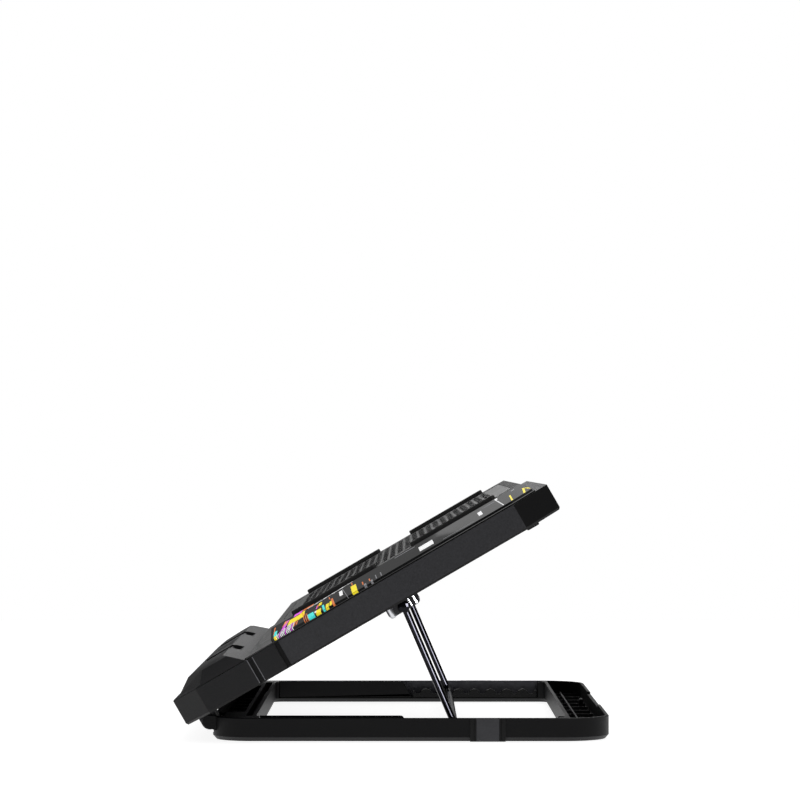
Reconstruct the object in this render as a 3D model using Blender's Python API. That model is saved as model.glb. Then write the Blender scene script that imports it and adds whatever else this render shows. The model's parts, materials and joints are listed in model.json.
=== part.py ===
"""Laptop cooling pad: a tilting fan deck on a flat ring base, propped by a U-shaped wire strut.

Sizes are in millimetres and are turned into Blender's metres by MM where a mesh or a place is made.
World frame: +X is the user's right, +Y runs from the front hinge to the rear, +Z is up, and Z = 0 is the table.
"""

import math

import bmesh
import bpy
from mathutils import Matrix, Vector

MM = 0.001

# Driving dimensions
HINGE_Y = -109.8      # puts the origin under the middle of the whole object
HINGE_Z = 11.0
DECK_TILT = 30.1      # degrees, strut in the third notch
GAP = 0.3             # between pieces that touch

BASE_HALF_WIDTH = 168.0
BASE_FRONT = 1.6
BASE_REAR = 241.0
BASE_BOTTOM = 0.3     # the rubber feet stand this far out of the underside
BASE_HEIGHT = 14.2
BASE_FRONT_CORNER = 24.0
BASE_REAR_CORNER = 28.5
BASE_WALL = 2.2
BASE_FLOOR = 3.0
RING_HALF_WIDTH = 152.0
RING_FRONT = 28.0
RING_REAR = 214.5
RING_CORNER = 5.0
TRAY_FRONT = 216.5

FOOT_RADIUS = 5.5
FOOT_HEIGHT = 1.3
FOOT_PLACES = {
    "front_right": (140.0, 15.0),
    "front_left": (-140.0, 15.0),
    "rear_right": (150.0, 224.0),
    "rear_left": (-150.0, 224.0),
}

NOTCH_COUNT = 8
NOTCH_PITCH = 11.2
NOTCH_FIRST = 126.6
NOTCH_RADIUS = 2.4
RACK_TOP = 8.4

COVER_TOP = 13.0
COVER_LIP_TOP = 14.6
COVER_REAR = 122.5

DECK_HALF_WIDTH = 182.0
DECK_FRONT = -12.0
DECK_REAR = 246.8
DECK_BOTTOM = 5.0
DECK_WALL_TOP = 21.8
DECK_TOP = 30.2
DECK_FLOOR = 3.0
CORNER_WIDTH = 20.0
FRONT_CORNER_DEPTH = 17.1
REAR_CORNER_DEPTH = 23.9
REAR_ROOF = 18.8
LEDGE_HALF_WIDTH = 180.4
LEDGE_REAR = 239.0
LEDGE_TOP = 22.9
BEVEL_FOOT = 24.3
GRILLE_SEAT = 29.0
VALLEY_START = 39.2
MAIN_START = 58.0

ROD_RADIUS = 2.1
LEG_X = 146.0
STRUT_LENGTH = 78.8
STRUT_PIVOT = (135.9, 1.3)   # along and above the deck's plane, from the hinge
STRUT_ANGLE = 96.9           # degrees from the deck's plane down to the legs
SLOT_HALF_WIDTH = 4.0
SLOT_CEILING = 15.5

KNUCKLE_X = (127.3, 148.7)
KNUCKLE_RADIUS = 5.2
LUG_RADIUS = 4.0
PIN_RADIUS = 2.0

FAN_SIZE = 70.0
FAN_HEIGHT = 13.0
FAN_BORE = 32.5
FAN_COLUMNS = (-84.0, 0.0, 84.0)
FAN_ROWS = (96.0, 169.0)
BLADE_COUNT = 7

STOPPER_X = 80.0
STOPPER_HALF_WIDTH = 18.0
STOPPER_PIN = (12.0, 28.4)
STOPPER_LENGTH = 16.5
STOPPER_HALF_THICKNESS = 1.7

PANEL_HALF_WIDTH = 52.0
PANEL_LOW = 8.4
PANEL_HIGH = 18.4
SOCKET_X = (-34.0, -14.0)
BUTTON_X = (16.0, 34.0)
BUTTON_RADIUS = 3.4
CONTROL_HEIGHT = 13.4


# Scene helpers

def clear_scene():
    for item in list(bpy.data.objects):
        bpy.data.objects.remove(item, do_unlink=True)


def new_collection(name):
    made = bpy.data.collections.new(name)
    bpy.context.scene.collection.children.link(made)
    return made


def new_empty(name, parent, place, turn=0.0):
    """An empty at a place in its parent's frame, turned about X by an angle in degrees."""
    empty = bpy.data.objects.new(name, None)
    empty.empty_display_size = 10 * MM
    empty.parent = parent
    empty.location = Vector(place) * MM
    empty.rotation_euler = (math.radians(turn), 0, 0)
    PARTS.objects.link(empty)
    return empty


def linear(channel):
    return channel / 12.92 if channel <= 0.04045 else ((channel + 0.055) / 1.055) ** 2.4


def add_finish(piece, colour, roughness, metallic=0.0):
    """Gives a piece its own material, with an sRGB colour as a hex string."""
    finish = bpy.data.materials.new(piece.name + "_finish")
    finish.use_nodes = True
    shader = finish.node_tree.nodes["Principled BSDF"]
    channels = [linear(int(colour[i:i + 2], 16) / 255) for i in (0, 2, 4)]
    shader.inputs["Base Color"].default_value = (*channels, 1)
    shader.inputs["Roughness"].default_value = roughness
    shader.inputs["Metallic"].default_value = metallic
    finish.diffuse_color = (*channels, 1)
    piece.data.materials.clear()
    piece.data.materials.append(finish)


def add_piece(name, mesh, parent, finish):
    mesh.name = name
    piece = bpy.data.objects.new(name, mesh)
    piece.parent = parent
    PARTS.objects.link(piece)
    add_finish(piece, *finish)
    return piece


def add_cutter(name, mesh, parent):
    cutter = bpy.data.objects.new(name, mesh)
    cutter.parent = parent
    cutter.hide_render = True
    cutter.display_type = "WIRE"
    CUTTERS.objects.link(cutter)
    return cutter


def combine(piece, mesh, operation):
    tool = add_cutter(f"{piece.name}_tool_{len(piece.modifiers)}", mesh, piece.parent)
    tool.location = piece.location
    change = piece.modifiers.new(tool.name, "BOOLEAN")
    change.operation = operation
    change.solver = "EXACT"
    change.object = tool


def cut(piece, mesh):
    combine(piece, mesh, "DIFFERENCE")


def join(piece, mesh):
    combine(piece, mesh, "UNION")


def shade_round(mesh, angle=35.0):
    mesh.shade_smooth()
    mesh.set_sharp_from_angle(angle=math.radians(angle))


# Mesh makers: each takes millimetres and gives a mesh in metres

def finish_mesh(bm, name="shape"):
    bmesh.ops.recalc_face_normals(bm, faces=bm.faces)
    mesh = bpy.data.meshes.new(name)
    bm.to_mesh(mesh)
    bm.free()
    return mesh


def boxes(*spans):
    """Closed boxes in one mesh, each given as (x range, y range, z range)."""
    bm = bmesh.new()
    for span in spans:
        size = [(high - low) * MM for low, high in span]
        middle = [(high + low) / 2 * MM for low, high in span]
        place = Matrix.Translation(middle) @ Matrix.Diagonal((*size, 1))
        bmesh.ops.create_cube(bm, size=1.0, matrix=place)
    return finish_mesh(bm)


def both_sides(*spans):
    """The given boxes and their mirror images across X = 0."""
    mirrored = [((-x[1], -x[0]), y, z) for x, y, z in spans]
    return boxes(*spans, *mirrored)


def cylinders(radius, ends, segments, *places):
    """Cylinders along X between the two ends, at each (y, z)."""
    bm = bmesh.new()
    for low, high in ends:
        for y, z in places:
            turn = Matrix.Rotation(math.radians(90), 4, "Y")
            shift = Matrix.Translation(Vector(((low + high) / 2, y, z)) * MM)
            bmesh.ops.create_cone(bm, cap_ends=True, segments=segments, radius1=radius * MM,
                                  radius2=radius * MM, depth=(high - low) * MM, matrix=shift @ turn)
    return finish_mesh(bm)


def drum(radius, low, high, segments, centre=(0.0, 0.0)):
    """A cylinder along Z."""
    bm = bmesh.new()
    shift = Matrix.Translation(Vector((*centre, (low + high) / 2)) * MM)
    bmesh.ops.create_cone(bm, cap_ends=True, segments=segments, radius1=radius * MM,
                          radius2=radius * MM, depth=(high - low) * MM, matrix=shift)
    return finish_mesh(bm)


def loft(rings):
    """Joins rings of equal count, each a list of (x, y, z), and caps both ends."""
    bm = bmesh.new()
    rows = [[bm.verts.new(Vector(point) * MM) for point in ring] for ring in rings]
    count = len(rows[0])
    for lower, upper in zip(rows, rows[1:]):
        for i in range(count):
            j = (i + 1) % count
            bm.faces.new((lower[i], lower[j], upper[j], upper[i]))
    bm.faces.new(rows[0])
    bm.faces.new(rows[-1])
    return finish_mesh(bm)


def at_height(outline, z):
    return [(x, y, z) for x, y in outline]


def stepped(outline, levels):
    """A solid whose outline is drawn in by each level's inset, from (inset, z) pairs."""
    return loft([at_height(inset(outline, amount), z) for amount, z in levels])


def along_x(profile, low, high):
    """Extrudes a profile of (y, z) points along X."""
    return loft([[(x, y, z) for y, z in profile] for x in (low, high)])


def arc(centre, radius, start, end, steps):
    """Points on an arc, angles in degrees."""
    turns = [math.radians(start + (end - start) * i / steps) for i in range(steps + 1)]
    return [(centre[0] + radius * math.cos(t), centre[1] + radius * math.sin(t)) for t in turns]


def rounded_rectangle(half_width, low, high, front, rear, steps):
    """An anticlockwise outline about X = 0, low to high in Y, with a front and a rear corner radius."""
    front_x, rear_x = half_width - front, half_width - rear
    return (arc((front_x, low + front), front, -90, 0, steps)
            + arc((rear_x, high - rear), rear, 0, 90, steps)
            + arc((-rear_x, high - rear), rear, 90, 180, steps)
            + arc((-front_x, low + front), front, 180, 270, steps))


def cut_corner_rectangle(half_width, low, high, front, rear):
    """An anticlockwise outline with sloping corners, each given as (width, depth)."""
    return [
        (half_width - front[0], low),
        (half_width, low + front[1]),
        (half_width, high - rear[1]),
        (half_width - rear[0], high),
        (rear[0] - half_width, high),
        (-half_width, high - rear[1]),
        (-half_width, low + front[1]),
        (front[0] - half_width, low),
    ]


def inset(outline, amount):
    """Moves each side of an anticlockwise convex outline inwards by an amount."""
    if amount == 0:
        return list(outline)
    moved = []
    for i, point in enumerate(outline):
        before = Vector(point) - Vector(outline[i - 1])
        after = Vector(outline[(i + 1) % len(outline)]) - Vector(point)
        first = Vector((-before.y, before.x)).normalized()
        second = Vector((-after.y, after.x)).normalized()
        step = (first + second) * amount / (1 + first.dot(second))
        moved.append((point[0] + step.x, point[1] + step.y))
    return moved


def mirrored(mesh):
    """A mirror image of a mesh across X = 0."""
    bm = bmesh.new()
    bm.from_mesh(mesh)
    bmesh.ops.scale(bm, vec=(-1, 1, 1), verts=bm.verts)
    bmesh.ops.reverse_faces(bm, faces=bm.faces)
    return finish_mesh(bm)


def settled(piece):
    """Applies a piece's modifiers, so that copies can share the mesh."""
    graph = bpy.context.evaluated_depsgraph_get()
    mesh = bpy.data.meshes.new_from_object(piece.evaluated_get(graph))
    for change in piece.modifiers:
        bpy.data.objects.remove(change.object, do_unlink=True)
    piece.modifiers.clear()
    piece.data = mesh
    return mesh


# Base: ring frame, tooth racks, covers and feet

def build_base_frame():
    outline = rounded_rectangle(BASE_HALF_WIDTH, BASE_FRONT, BASE_REAR,
                                BASE_FRONT_CORNER, BASE_REAR_CORNER, 6)
    levels = [(2.2, BASE_BOTTOM), (0, BASE_BOTTOM + 2.4), (0, BASE_HEIGHT - 0.5), (0.5, BASE_HEIGHT)]
    frame = add_piece("base_frame", stepped(outline, levels), BASE, ("1C1C1E", 0.45))

    ring = rounded_rectangle(RING_HALF_WIDTH, RING_FRONT, RING_REAR, RING_CORNER, RING_CORNER, 3)
    cut(frame, stepped(ring, [(-3.2, -0.4), (-2.2, BASE_BOTTOM), (0, BASE_BOTTOM + 2.4), (0, 16)]))
    for x, y in FOOT_PLACES.values():
        cut(frame, drum(FOOT_RADIUS + GAP, -1, FOOT_HEIGHT + GAP, 20, (x, y)))

    inside = inset(outline, BASE_WALL)
    tray = [point for point in inside if point[1] > TRAY_FRONT]
    edge = tray[0][0]
    cut(frame, stepped([(edge, TRAY_FRONT), *tray, (-edge, TRAY_FRONT)],
                       [(0, BASE_FLOOR), (0, 16)]))

    channel = (RING_HALF_WIDTH - 6, BASE_HALF_WIDTH - BASE_WALL)
    cut(frame, both_sides((channel, (RING_FRONT + 2, 209.8), (BASE_FLOOR, 16))))

    cut(frame, boxes(((-117, 117), (4.4, 20.4), (BASE_FLOOR, 16)),
                     ((-150, 150), (22.0, 26.0), (8.0, 16)),
                     ((-58, 58), (236, 242), (12.0, 16))))
    join(frame, boxes(((-163.5, 163.5), (225.0, 225.9), (2, 7.0))))
    ribs = [((x - 0.6, x + 0.6), (216, 237.6), (2, 6.2)) for x in range(-150, 151, 30)]
    join(frame, boxes(*ribs))

    lug_profile = [*arc((0, HINGE_Z), LUG_RADIUS, 110, 270, 8), (9, HINGE_Z - 7), (9, 13.6)]
    lug_ends = ((KNUCKLE_X[0] - 5.8, KNUCKLE_X[0] - 0.8), (KNUCKLE_X[1] + 0.8, KNUCKLE_X[1] + 5.8))
    cut(frame, both_sides(((KNUCKLE_X[0] - 0.8, KNUCKLE_X[1] + 0.8), (-2, 8.6), (3.6, 16))))
    for low, high in lug_ends:
        lug = along_x(lug_profile, low, high)
        join(frame, lug)
        join(frame, mirrored(lug))
    bore = [(lug_ends[0][0] - 1, lug_ends[1][1] + 1)]
    bore_ends = bore + [(-high, -low) for low, high in bore]
    cut(frame, cylinders(PIN_RADIUS + GAP, bore_ends, 16, (0, HINGE_Z)))


def build_tooth_racks():
    last = NOTCH_FIRST + NOTCH_PITCH * (NOTCH_COUNT - 1)
    top = [(NOTCH_FIRST - 3.3, RACK_TOP - 0.4)]
    for i in range(NOTCH_COUNT):
        middle = NOTCH_FIRST + NOTCH_PITCH * i
        top += arc((middle, RACK_TOP - 0.3), NOTCH_RADIUS, 180, 360, 5)
        top.append((middle + NOTCH_PITCH * 0.36, RACK_TOP + 0.1))
        top.append((middle + NOTCH_PITCH * 0.64, RACK_TOP + 0.1))
    top = top[:-2] + [(last + 4.0, RACK_TOP)]
    floor = BASE_FLOOR + GAP
    profile = [(NOTCH_FIRST - 3.3, floor), *top, (last + 4.0, floor)]
    rack = along_x(profile, RING_HALF_WIDTH + GAP, RING_HALF_WIDTH + 8.5)
    add_piece("tooth_rack_right", rack, BASE, ("151516", 0.5))
    add_piece("tooth_rack_left", mirrored(rack), BASE, ("151516", 0.5))


def build_rail_covers():
    """Covers over the front half of the side channels, with a raised lip along the inner edge."""
    low = BASE_FLOOR + GAP
    start = RING_FRONT + 2.4
    inner = RING_HALF_WIDTH + GAP
    profile = [(start, low), (start, COVER_TOP), (COVER_REAR - 6.6, COVER_TOP),
               (COVER_REAR - 5.4, COVER_TOP - 0.9), (COVER_REAR, low)]
    lip = [(start, low + 1), (start, COVER_LIP_TOP), (COVER_REAR - 6.9, COVER_LIP_TOP),
           (COVER_REAR - 5.6, COVER_LIP_TOP - 1.2), (COVER_REAR - 1, low + 1)]
    cover = add_piece("rail_cover_right", along_x(profile, inner, BASE_HALF_WIDTH - BASE_WALL - GAP),
                      BASE, ("1A1A1B", 0.45))
    join(cover, along_x(lip, inner, inner + 1.6))
    shape = settled(cover)
    add_piece("rail_cover_left", mirrored(shape), BASE, ("1A1A1B", 0.45))


def build_side_grips():
    """Rubber bands that wrap the rails' outer faces and the edge of the underside."""
    outer = BASE_HALF_WIDTH + 1.0
    inner = BASE_HALF_WIDTH + GAP
    profile = [(inner, BASE_HEIGHT), (inner, 2.3), (inner - 2.4, -0.3), (inner - 1.6, -0.6),
               (outer - 0.3, -0.2), (outer, 2.0), (outer, BASE_HEIGHT)]
    grip = loft([[(x, y, z + 0.6) for x, z in profile] for y in (156.5, 177.7)])
    add_piece("side_grip_right", grip, BASE, ("232325", 0.6))
    add_piece("side_grip_left", mirrored(grip), BASE, ("232325", 0.6))


def build_base_feet():
    """Flat rubber feet, sunk in the underside near the corners, that carry the whole object."""
    for name, place in FOOT_PLACES.items():
        foot = drum(FOOT_RADIUS, 0, FOOT_HEIGHT, 20, place)
        shade_round(foot)
        add_piece(f"rubber_foot_{name}", foot, BASE, ("101010", 0.85))


def build_cable_clip():
    stem = add_piece("cable_clip", boxes(((-45.2, -43.0), (232.6, 235.4), (3.6, 9.4))), BASE,
                     ("19191A", 0.5))
    join(stem, boxes(((-48.0, -40.2), (232.8, 235.2), (9.0, 10.6))))


def build_hinge_pins():
    for side, sign in (("right", 1), ("left", -1)):
        low, high = sorted((sign * (KNUCKLE_X[0] - 5.4), sign * (KNUCKLE_X[1] + 5.4)))
        pin = cylinders(PIN_RADIUS, [(low, high)], 16, (0, HINGE_Z))
        shade_round(pin)
        add_piece(f"hinge_pin_{side}", pin, BASE, ("8C8C90", 0.3, 1.0))


# Deck: lower and upper housings, front bumper and trim

def build_lower_housing():
    outline = cut_corner_rectangle(DECK_HALF_WIDTH, DECK_FRONT, DECK_REAR,
                                   (CORNER_WIDTH, FRONT_CORNER_DEPTH),
                                   (CORNER_WIDTH, REAR_CORNER_DEPTH))
    levels = [(0.7, DECK_BOTTOM), (0, DECK_BOTTOM + 0.7), (0, DECK_WALL_TOP)]
    shell = add_piece("lower_housing", stepped(outline, levels), DECK, ("28282B", 0.55))

    floor = DECK_BOTTOM + DECK_FLOOR
    slot_outer = LEG_X + SLOT_HALF_WIDTH
    slot_inner = LEG_X - SLOT_HALF_WIDTH
    cut(shell, boxes(((-136, 136), (47, 206), (floor, 24)),
                     ((-157, 157), (DECK_FRONT + 3, 44), (floor, 24)),
                     ((-157, 157), (223, 236.5), (floor, 24)),
                     ((153, 179), (47, 221), (floor, 24)),
                     ((-179, -153), (47, 221), (floor, 24))))
    cut(shell, boxes(((-157, 157), (230, DECK_REAR - 2.6), (floor, REAR_ROOF))))
    channel = (209.0, 220.0)
    cut(shell, both_sides(((slot_inner, slot_outer), (131.0, channel[1]), (3, SLOT_CEILING))))
    cut(shell, boxes(((-slot_inner - 1, slot_inner + 1), channel, (3, SLOT_CEILING))))

    grooves = [((DECK_HALF_WIDTH - 1.2, 184), span, (3, 24)) for span in ((39.7, 43.7), (58.6, 61.6))]
    cut(shell, both_sides(*grooves))
    cut(shell, intake_slots())
    cut(shell, boxes(((-PANEL_HALF_WIDTH, PANEL_HALF_WIDTH), (243, 249), (PANEL_LOW, PANEL_HIGH))))

    knuckle = [*arc((0, 0), KNUCKLE_RADIUS, 180, 360, 12), (KNUCKLE_RADIUS, DECK_BOTTOM + 0.9),
               (-KNUCKLE_RADIUS, DECK_BOTTOM + 0.9)]
    solid = along_x(knuckle, *KNUCKLE_X)
    join(shell, solid)
    join(shell, mirrored(solid))
    ends = [(KNUCKLE_X[0] - 1, KNUCKLE_X[1] + 1), (-KNUCKLE_X[1] - 1, 1 - KNUCKLE_X[0])]
    cut(shell, cylinders(PIN_RADIUS + GAP, ends, 16, (0, 0)))


def intake_slots():
    """Air intakes under each fan: rows of slots that fill a circle, parted by a middle rib."""
    spans = []
    reach = FAN_BORE - 2.5
    for x in FAN_COLUMNS:
        for u in FAN_ROWS:
            for row in range(-3, 4):
                offset = row * 8.4
                half = math.sqrt(reach ** 2 - offset ** 2)
                for low, high in ((-half, -1.5), (1.5, half)):
                    spans.append(((x + low, x + high), (u + offset - 2.2, u + offset + 2.2), (3, 10)))
    return boxes(*spans)


def build_upper_housing():
    """The top shell: a thin ledge all round, then a bevel up to the flat top."""
    low = DECK_WALL_TOP + GAP
    ledge = cut_corner_rectangle(LEDGE_HALF_WIDTH, VALLEY_START, LEDGE_REAR, (0.6, 0.6), (14.0, 16.7))
    shell = add_piece("upper_housing", stepped(ledge, [(0, low), (0, LEDGE_TOP - 0.3), (0.3, LEDGE_TOP)]),
                      DECK, ("0E0E10", 0.18))
    foot = cut_corner_rectangle(LEDGE_HALF_WIDTH - 1.0, MAIN_START, LEDGE_REAR - 1.5, (0.6, 0.6),
                                (12.2, 14.6))
    crown = cut_corner_rectangle(LEDGE_HALF_WIDTH - 8.6, MAIN_START + 3.4, LEDGE_REAR - 6.0,
                                 (0.6, 0.6), (8.7, 10.4))
    join(shell, loft([at_height(foot, low + 0.4), at_height(foot, BEVEL_FOOT),
                      at_height(crown, DECK_TOP)]))
    cut(shell, stepped(grille_opening(), [(0, 20), (0, GRILLE_SEAT), (-4, GRILLE_SEAT), (-4, 33)]))


def build_front_bumper():
    """The chunky front block, lofted up from the deck's front outline."""
    levels = (
        # height, front edge, front edge's half width, side, side's front end, rear edge
        (DECK_WALL_TOP + GAP, -12.0, 162.0, 182.0, 5.1, 38.6),
        (DECK_WALL_TOP + 1.1, -7.0, 160.5, 181.6, 8.4, 38.0),
        (DECK_WALL_TOP + 7.8, 2.6, 158.0, 179.4, 13.5, 30.5),
        (DECK_WALL_TOP + 9.2, 10.5, 155.0, 176.0, 20.0, 28.4),
    )
    rings = []
    for z, front, front_x, side_x, side_start, rear in levels:
        half = [(front_x, front, z), (side_x, side_start, z), (side_x, rear, z)]
        rings.append(half + [(-x, y, z) for x, y, z in reversed(half)])
    bumper = add_piece("front_bumper", loft(rings), DECK, ("2B2B2E", 0.5))
    pin_y, pin_z = STOPPER_PIN
    low, high = STOPPER_X - STOPPER_HALF_WIDTH - 0.6, STOPPER_X + STOPPER_HALF_WIDTH + 0.6
    pocket = ((low, high), (pin_y - 2.6, 38.9), (pin_z - 2.3, 36))
    cut(bumper, both_sides(pocket))
    ends = [(low - 3, high + 3), (-high - 3, 3 - low)]
    cut(bumper, cylinders(1.5, ends, 12, STOPPER_PIN))


def build_stoppers():
    """Flip-up stops that lie flat in the bumper's pockets, with a rubber face each."""
    profile = [*arc((0, 0), STOPPER_HALF_THICKNESS, 90, 270, 6),
               (STOPPER_LENGTH, -STOPPER_HALF_THICKNESS), (STOPPER_LENGTH, STOPPER_HALF_THICKNESS)]
    face = (1.0, STOPPER_LENGTH - 1.6)
    for side, sign in (("right", 1), ("left", -1)):
        pivot = new_empty(f"stopper_axis_{side}", DECK, (sign * STOPPER_X, *STOPPER_PIN))
        flap = add_piece(f"stopper_{side}", along_x(profile, -STOPPER_HALF_WIDTH, STOPPER_HALF_WIDTH),
                         pivot, ("222224", 0.5))
        reach = STOPPER_HALF_WIDTH + 2.8
        join(flap, cylinders(1.2, [(-reach, reach)], 12, (0, 0)))
        top = STOPPER_HALF_THICKNESS
        cut(flap, boxes(((-15.3, 15.3), (face[0] + 2.2, face[1] + 0.3), (top - 0.9, top + 1))))
        add_piece(f"stopper_pad_{side}", boxes(((-15, 15), (face[0] + 2.5, face[1]), (top - 0.6, top + 0.3))),
                  pivot, ("121212", 0.85))


def grille_opening():
    return cut_corner_rectangle(148, 72, 224, (14, 14), (14, 14))


def build_mesh_grille():
    edge = GAP - 4
    plate = stepped(grille_opening(), [(edge, GRILLE_SEAT + GAP), (edge, DECK_TOP - 0.1)])
    add_piece("mesh_grille", plate, DECK, ("161617", 0.4, 0.8))


def build_grip_strips():
    """Four rubber strips on the flat top that the laptop lies on."""
    for side, sign in (("right", 1), ("left", -1)):
        for end, span in (("front", (76.0, 134.0)), ("rear", (158.0, 216.0))):
            outline = cut_corner_rectangle(4.6, *span, (2, 2), (2, 2))
            strip = stepped(outline, [(0, DECK_TOP + GAP), (0, DECK_TOP + 1.9), (0.6, DECK_TOP + 2.5)])
            piece = add_piece(f"grip_strip_{end}_{side}", strip, DECK, ("131314", 0.85))
            piece.location = Vector((sign * 161.0, 0, 0)) * MM


def build_fans():
    """Six square fan frames, each with its spider and motor plate, and an impeller on its axis."""
    low = DECK_BOTTOM + DECK_FLOOR + GAP
    half = FAN_SIZE / 2
    pattern = rounded_rectangle(half, -half, half, 5.0, 5.0, 2)
    frame = add_piece("fan_frame_1", stepped(pattern, [(0, low), (0, low + FAN_HEIGHT)]), DECK,
                      ("1B1B1C", 0.5))
    cut(frame, drum(FAN_BORE, low - 1, low + FAN_HEIGHT + 1, 40))
    join(frame, drum(13.5, low, low + 2.0, 24))
    join(frame, boxes(((-FAN_BORE - 1, FAN_BORE + 1), (-1.6, 1.6), (low, low + 1.6))))
    join(frame, boxes(((-1.6, 1.6), (-FAN_BORE - 1, FAN_BORE + 1), (low, low + 1.6))))
    frame_mesh = settled(frame)

    wheel_low = 2.6
    wheel = add_piece("impeller_1", drum(14.0, wheel_low, wheel_low + 9.6, 24), DECK, ("1E1E20", 0.4))
    bm = bmesh.new()
    for i in range(BLADE_COUNT):
        place = (Matrix.Rotation(math.tau * i / BLADE_COUNT, 4, "Z")
                 @ Matrix.Translation(Vector((21.8, 0, wheel_low + 4.6)) * MM)
                 @ Matrix.Rotation(math.radians(36), 4, "X")
                 @ Matrix.Diagonal((18.4 * MM, 12.5 * MM, 1.2 * MM, 1)))
        bmesh.ops.create_cube(bm, size=1.0, matrix=place)
    join(wheel, finish_mesh(bm))
    wheel_mesh = settled(wheel)
    bpy.data.objects.remove(frame, do_unlink=True)
    bpy.data.objects.remove(wheel, do_unlink=True)

    places = [(x, u) for u in FAN_ROWS for x in FAN_COLUMNS]
    for number, (x, u) in enumerate(places, 1):
        piece = add_piece(f"fan_frame_{number}", frame_mesh.copy(), DECK, ("1B1B1C", 0.5))
        piece.location = Vector((x, u, 0)) * MM
        axle = new_empty(f"fan_axis_{number}", DECK, (x, u, low))
        blades = wheel_mesh.copy()
        add_piece(f"impeller_{number}", blades, axle, ("1E1E20", 0.4))


def build_controls():
    """The rear control panel, its two sockets and two push-buttons, and the board behind it."""
    panel = add_piece("control_panel",
                      boxes(((GAP - PANEL_HALF_WIDTH, PANEL_HALF_WIDTH - GAP), (244.5, 246.6),
                             (PANEL_LOW + GAP, PANEL_HIGH - GAP))), DECK, ("0C0C0D", 0.2))
    windows = [((x - 7.0, x + 7.0), (243, 248), (CONTROL_HEIGHT - 3.4, CONTROL_HEIGHT + 3.4))
               for x in SOCKET_X]
    cut(panel, boxes(*windows))
    for x in BUTTON_X:
        cut(panel, along_y(BUTTON_RADIUS + GAP, 243, 248, x))

    for number, x in enumerate(SOCKET_X, 1):
        height = CONTROL_HEIGHT
        shell = add_piece(f"usb_socket_{number}",
                          boxes(((x - 6.6, x + 6.6), (232, 246.4), (height - 3.0, height + 3.0))),
                          DECK, ("B4B6BA", 0.3, 1.0))
        cut(shell, boxes(((x - 6.0, x + 6.0), (233.5, 248), (height - 2.4, height + 2.4))))
        join(shell, boxes(((x - 5.2, x + 5.2), (233, 243.5), (height + 0.2, height + 1.4))))

    for name, x in zip(("fan_button", "light_button"), BUTTON_X):
        axis = new_empty(f"{name}_axis", DECK, (x, 0, CONTROL_HEIGHT))
        button = add_piece(name, along_y(BUTTON_RADIUS, 240.4, 247.6, 0, 0), axis, ("2A2A2C", 0.4))
        shade_round(button.data)

    board = add_piece("circuit_board", boxes(((-58, 58), (225, 238.5), (8.3, 9.9))), DECK,
                      ("1D4A2C", 0.5))
    join(board, boxes(((20, 27), (228, 235), (9.5, 11.4)), ((-6, 8), (227, 231), (9.5, 11.0))))


def along_y(radius, low, high, x, z=CONTROL_HEIGHT):
    """A cylinder along Y."""
    bm = bmesh.new()
    place = (Matrix.Translation(Vector((x, (low + high) / 2, z)) * MM)
             @ Matrix.Rotation(math.radians(90), 4, "X"))
    bmesh.ops.create_cone(bm, cap_ends=True, segments=24, radius1=radius * MM,
                          radius2=radius * MM, depth=(high - low) * MM, matrix=place)
    return finish_mesh(bm)


def build_deck_pads():
    """Pads under the deck's rear corners, which land on the base when it is folded."""
    for side, sign in (("right", 1), ("left", -1)):
        outline = cut_corner_rectangle(4.5, 223.0, 231.0, (1.5, 1.5), (1.5, 1.5))
        pad = add_piece(f"deck_pad_{side}",
                        stepped(outline, [(0.4, DECK_BOTTOM - 1.4), (0, DECK_BOTTOM - 1.0),
                                          (0, DECK_BOTTOM - GAP)]), DECK, ("101010", 0.85))
        pad.location = Vector((sign * 163.5, 0, 0)) * MM


# Strut: brackets under the deck, and the bent wire that props it

def build_strut_brackets():
    u, v = STRUT_PIVOT
    low, high = v - 2.7, DECK_BOTTOM - GAP
    front, rear = u - 10.9, u + 10.7
    profile = [(front, high), *arc((front + 2.6, low + 2.6), 2.6, 180, 270, 4),
               *arc((rear - 2.6, low + 2.6), 2.6, 270, 360, 4), (rear, high)]
    block = along_x(profile, LEG_X - 8.0, LEG_X + 9.0)
    for side, sign in (("right", 1), ("left", -1)):
        shape = block if sign > 0 else mirrored(block)
        bracket = add_piece(f"strut_bracket_{side}", shape, DECK, ("1A1A1B", 0.35))
        gap = sorted((sign * (LEG_X - 4.4), sign * (LEG_X + 5.3)))
        cut(bracket, boxes((gap, (u - 5.6, rear + 2), (low - 2, high + 2))))
        bore = sorted((sign * LEG_X, sign * (LEG_X + 12)))
        cut(bracket, cylinders(ROD_RADIUS + GAP, [bore], 16, (u, v)))


def strut_path():
    """Centre line of the bent rod: a pin at each top end, two legs and the foot bar between."""
    bend, foot = 4.6, 6.0
    pin = [(LEG_X + 8.4, 0.0)]
    top = arc((LEG_X + bend, bend), bend, 270, 180, 5)
    bottom = arc((LEG_X - foot, STRUT_LENGTH - foot), foot, 0, 90, 5)
    half = pin + top + bottom
    return half + [(-x, y) for x, y in reversed(half)]


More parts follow.
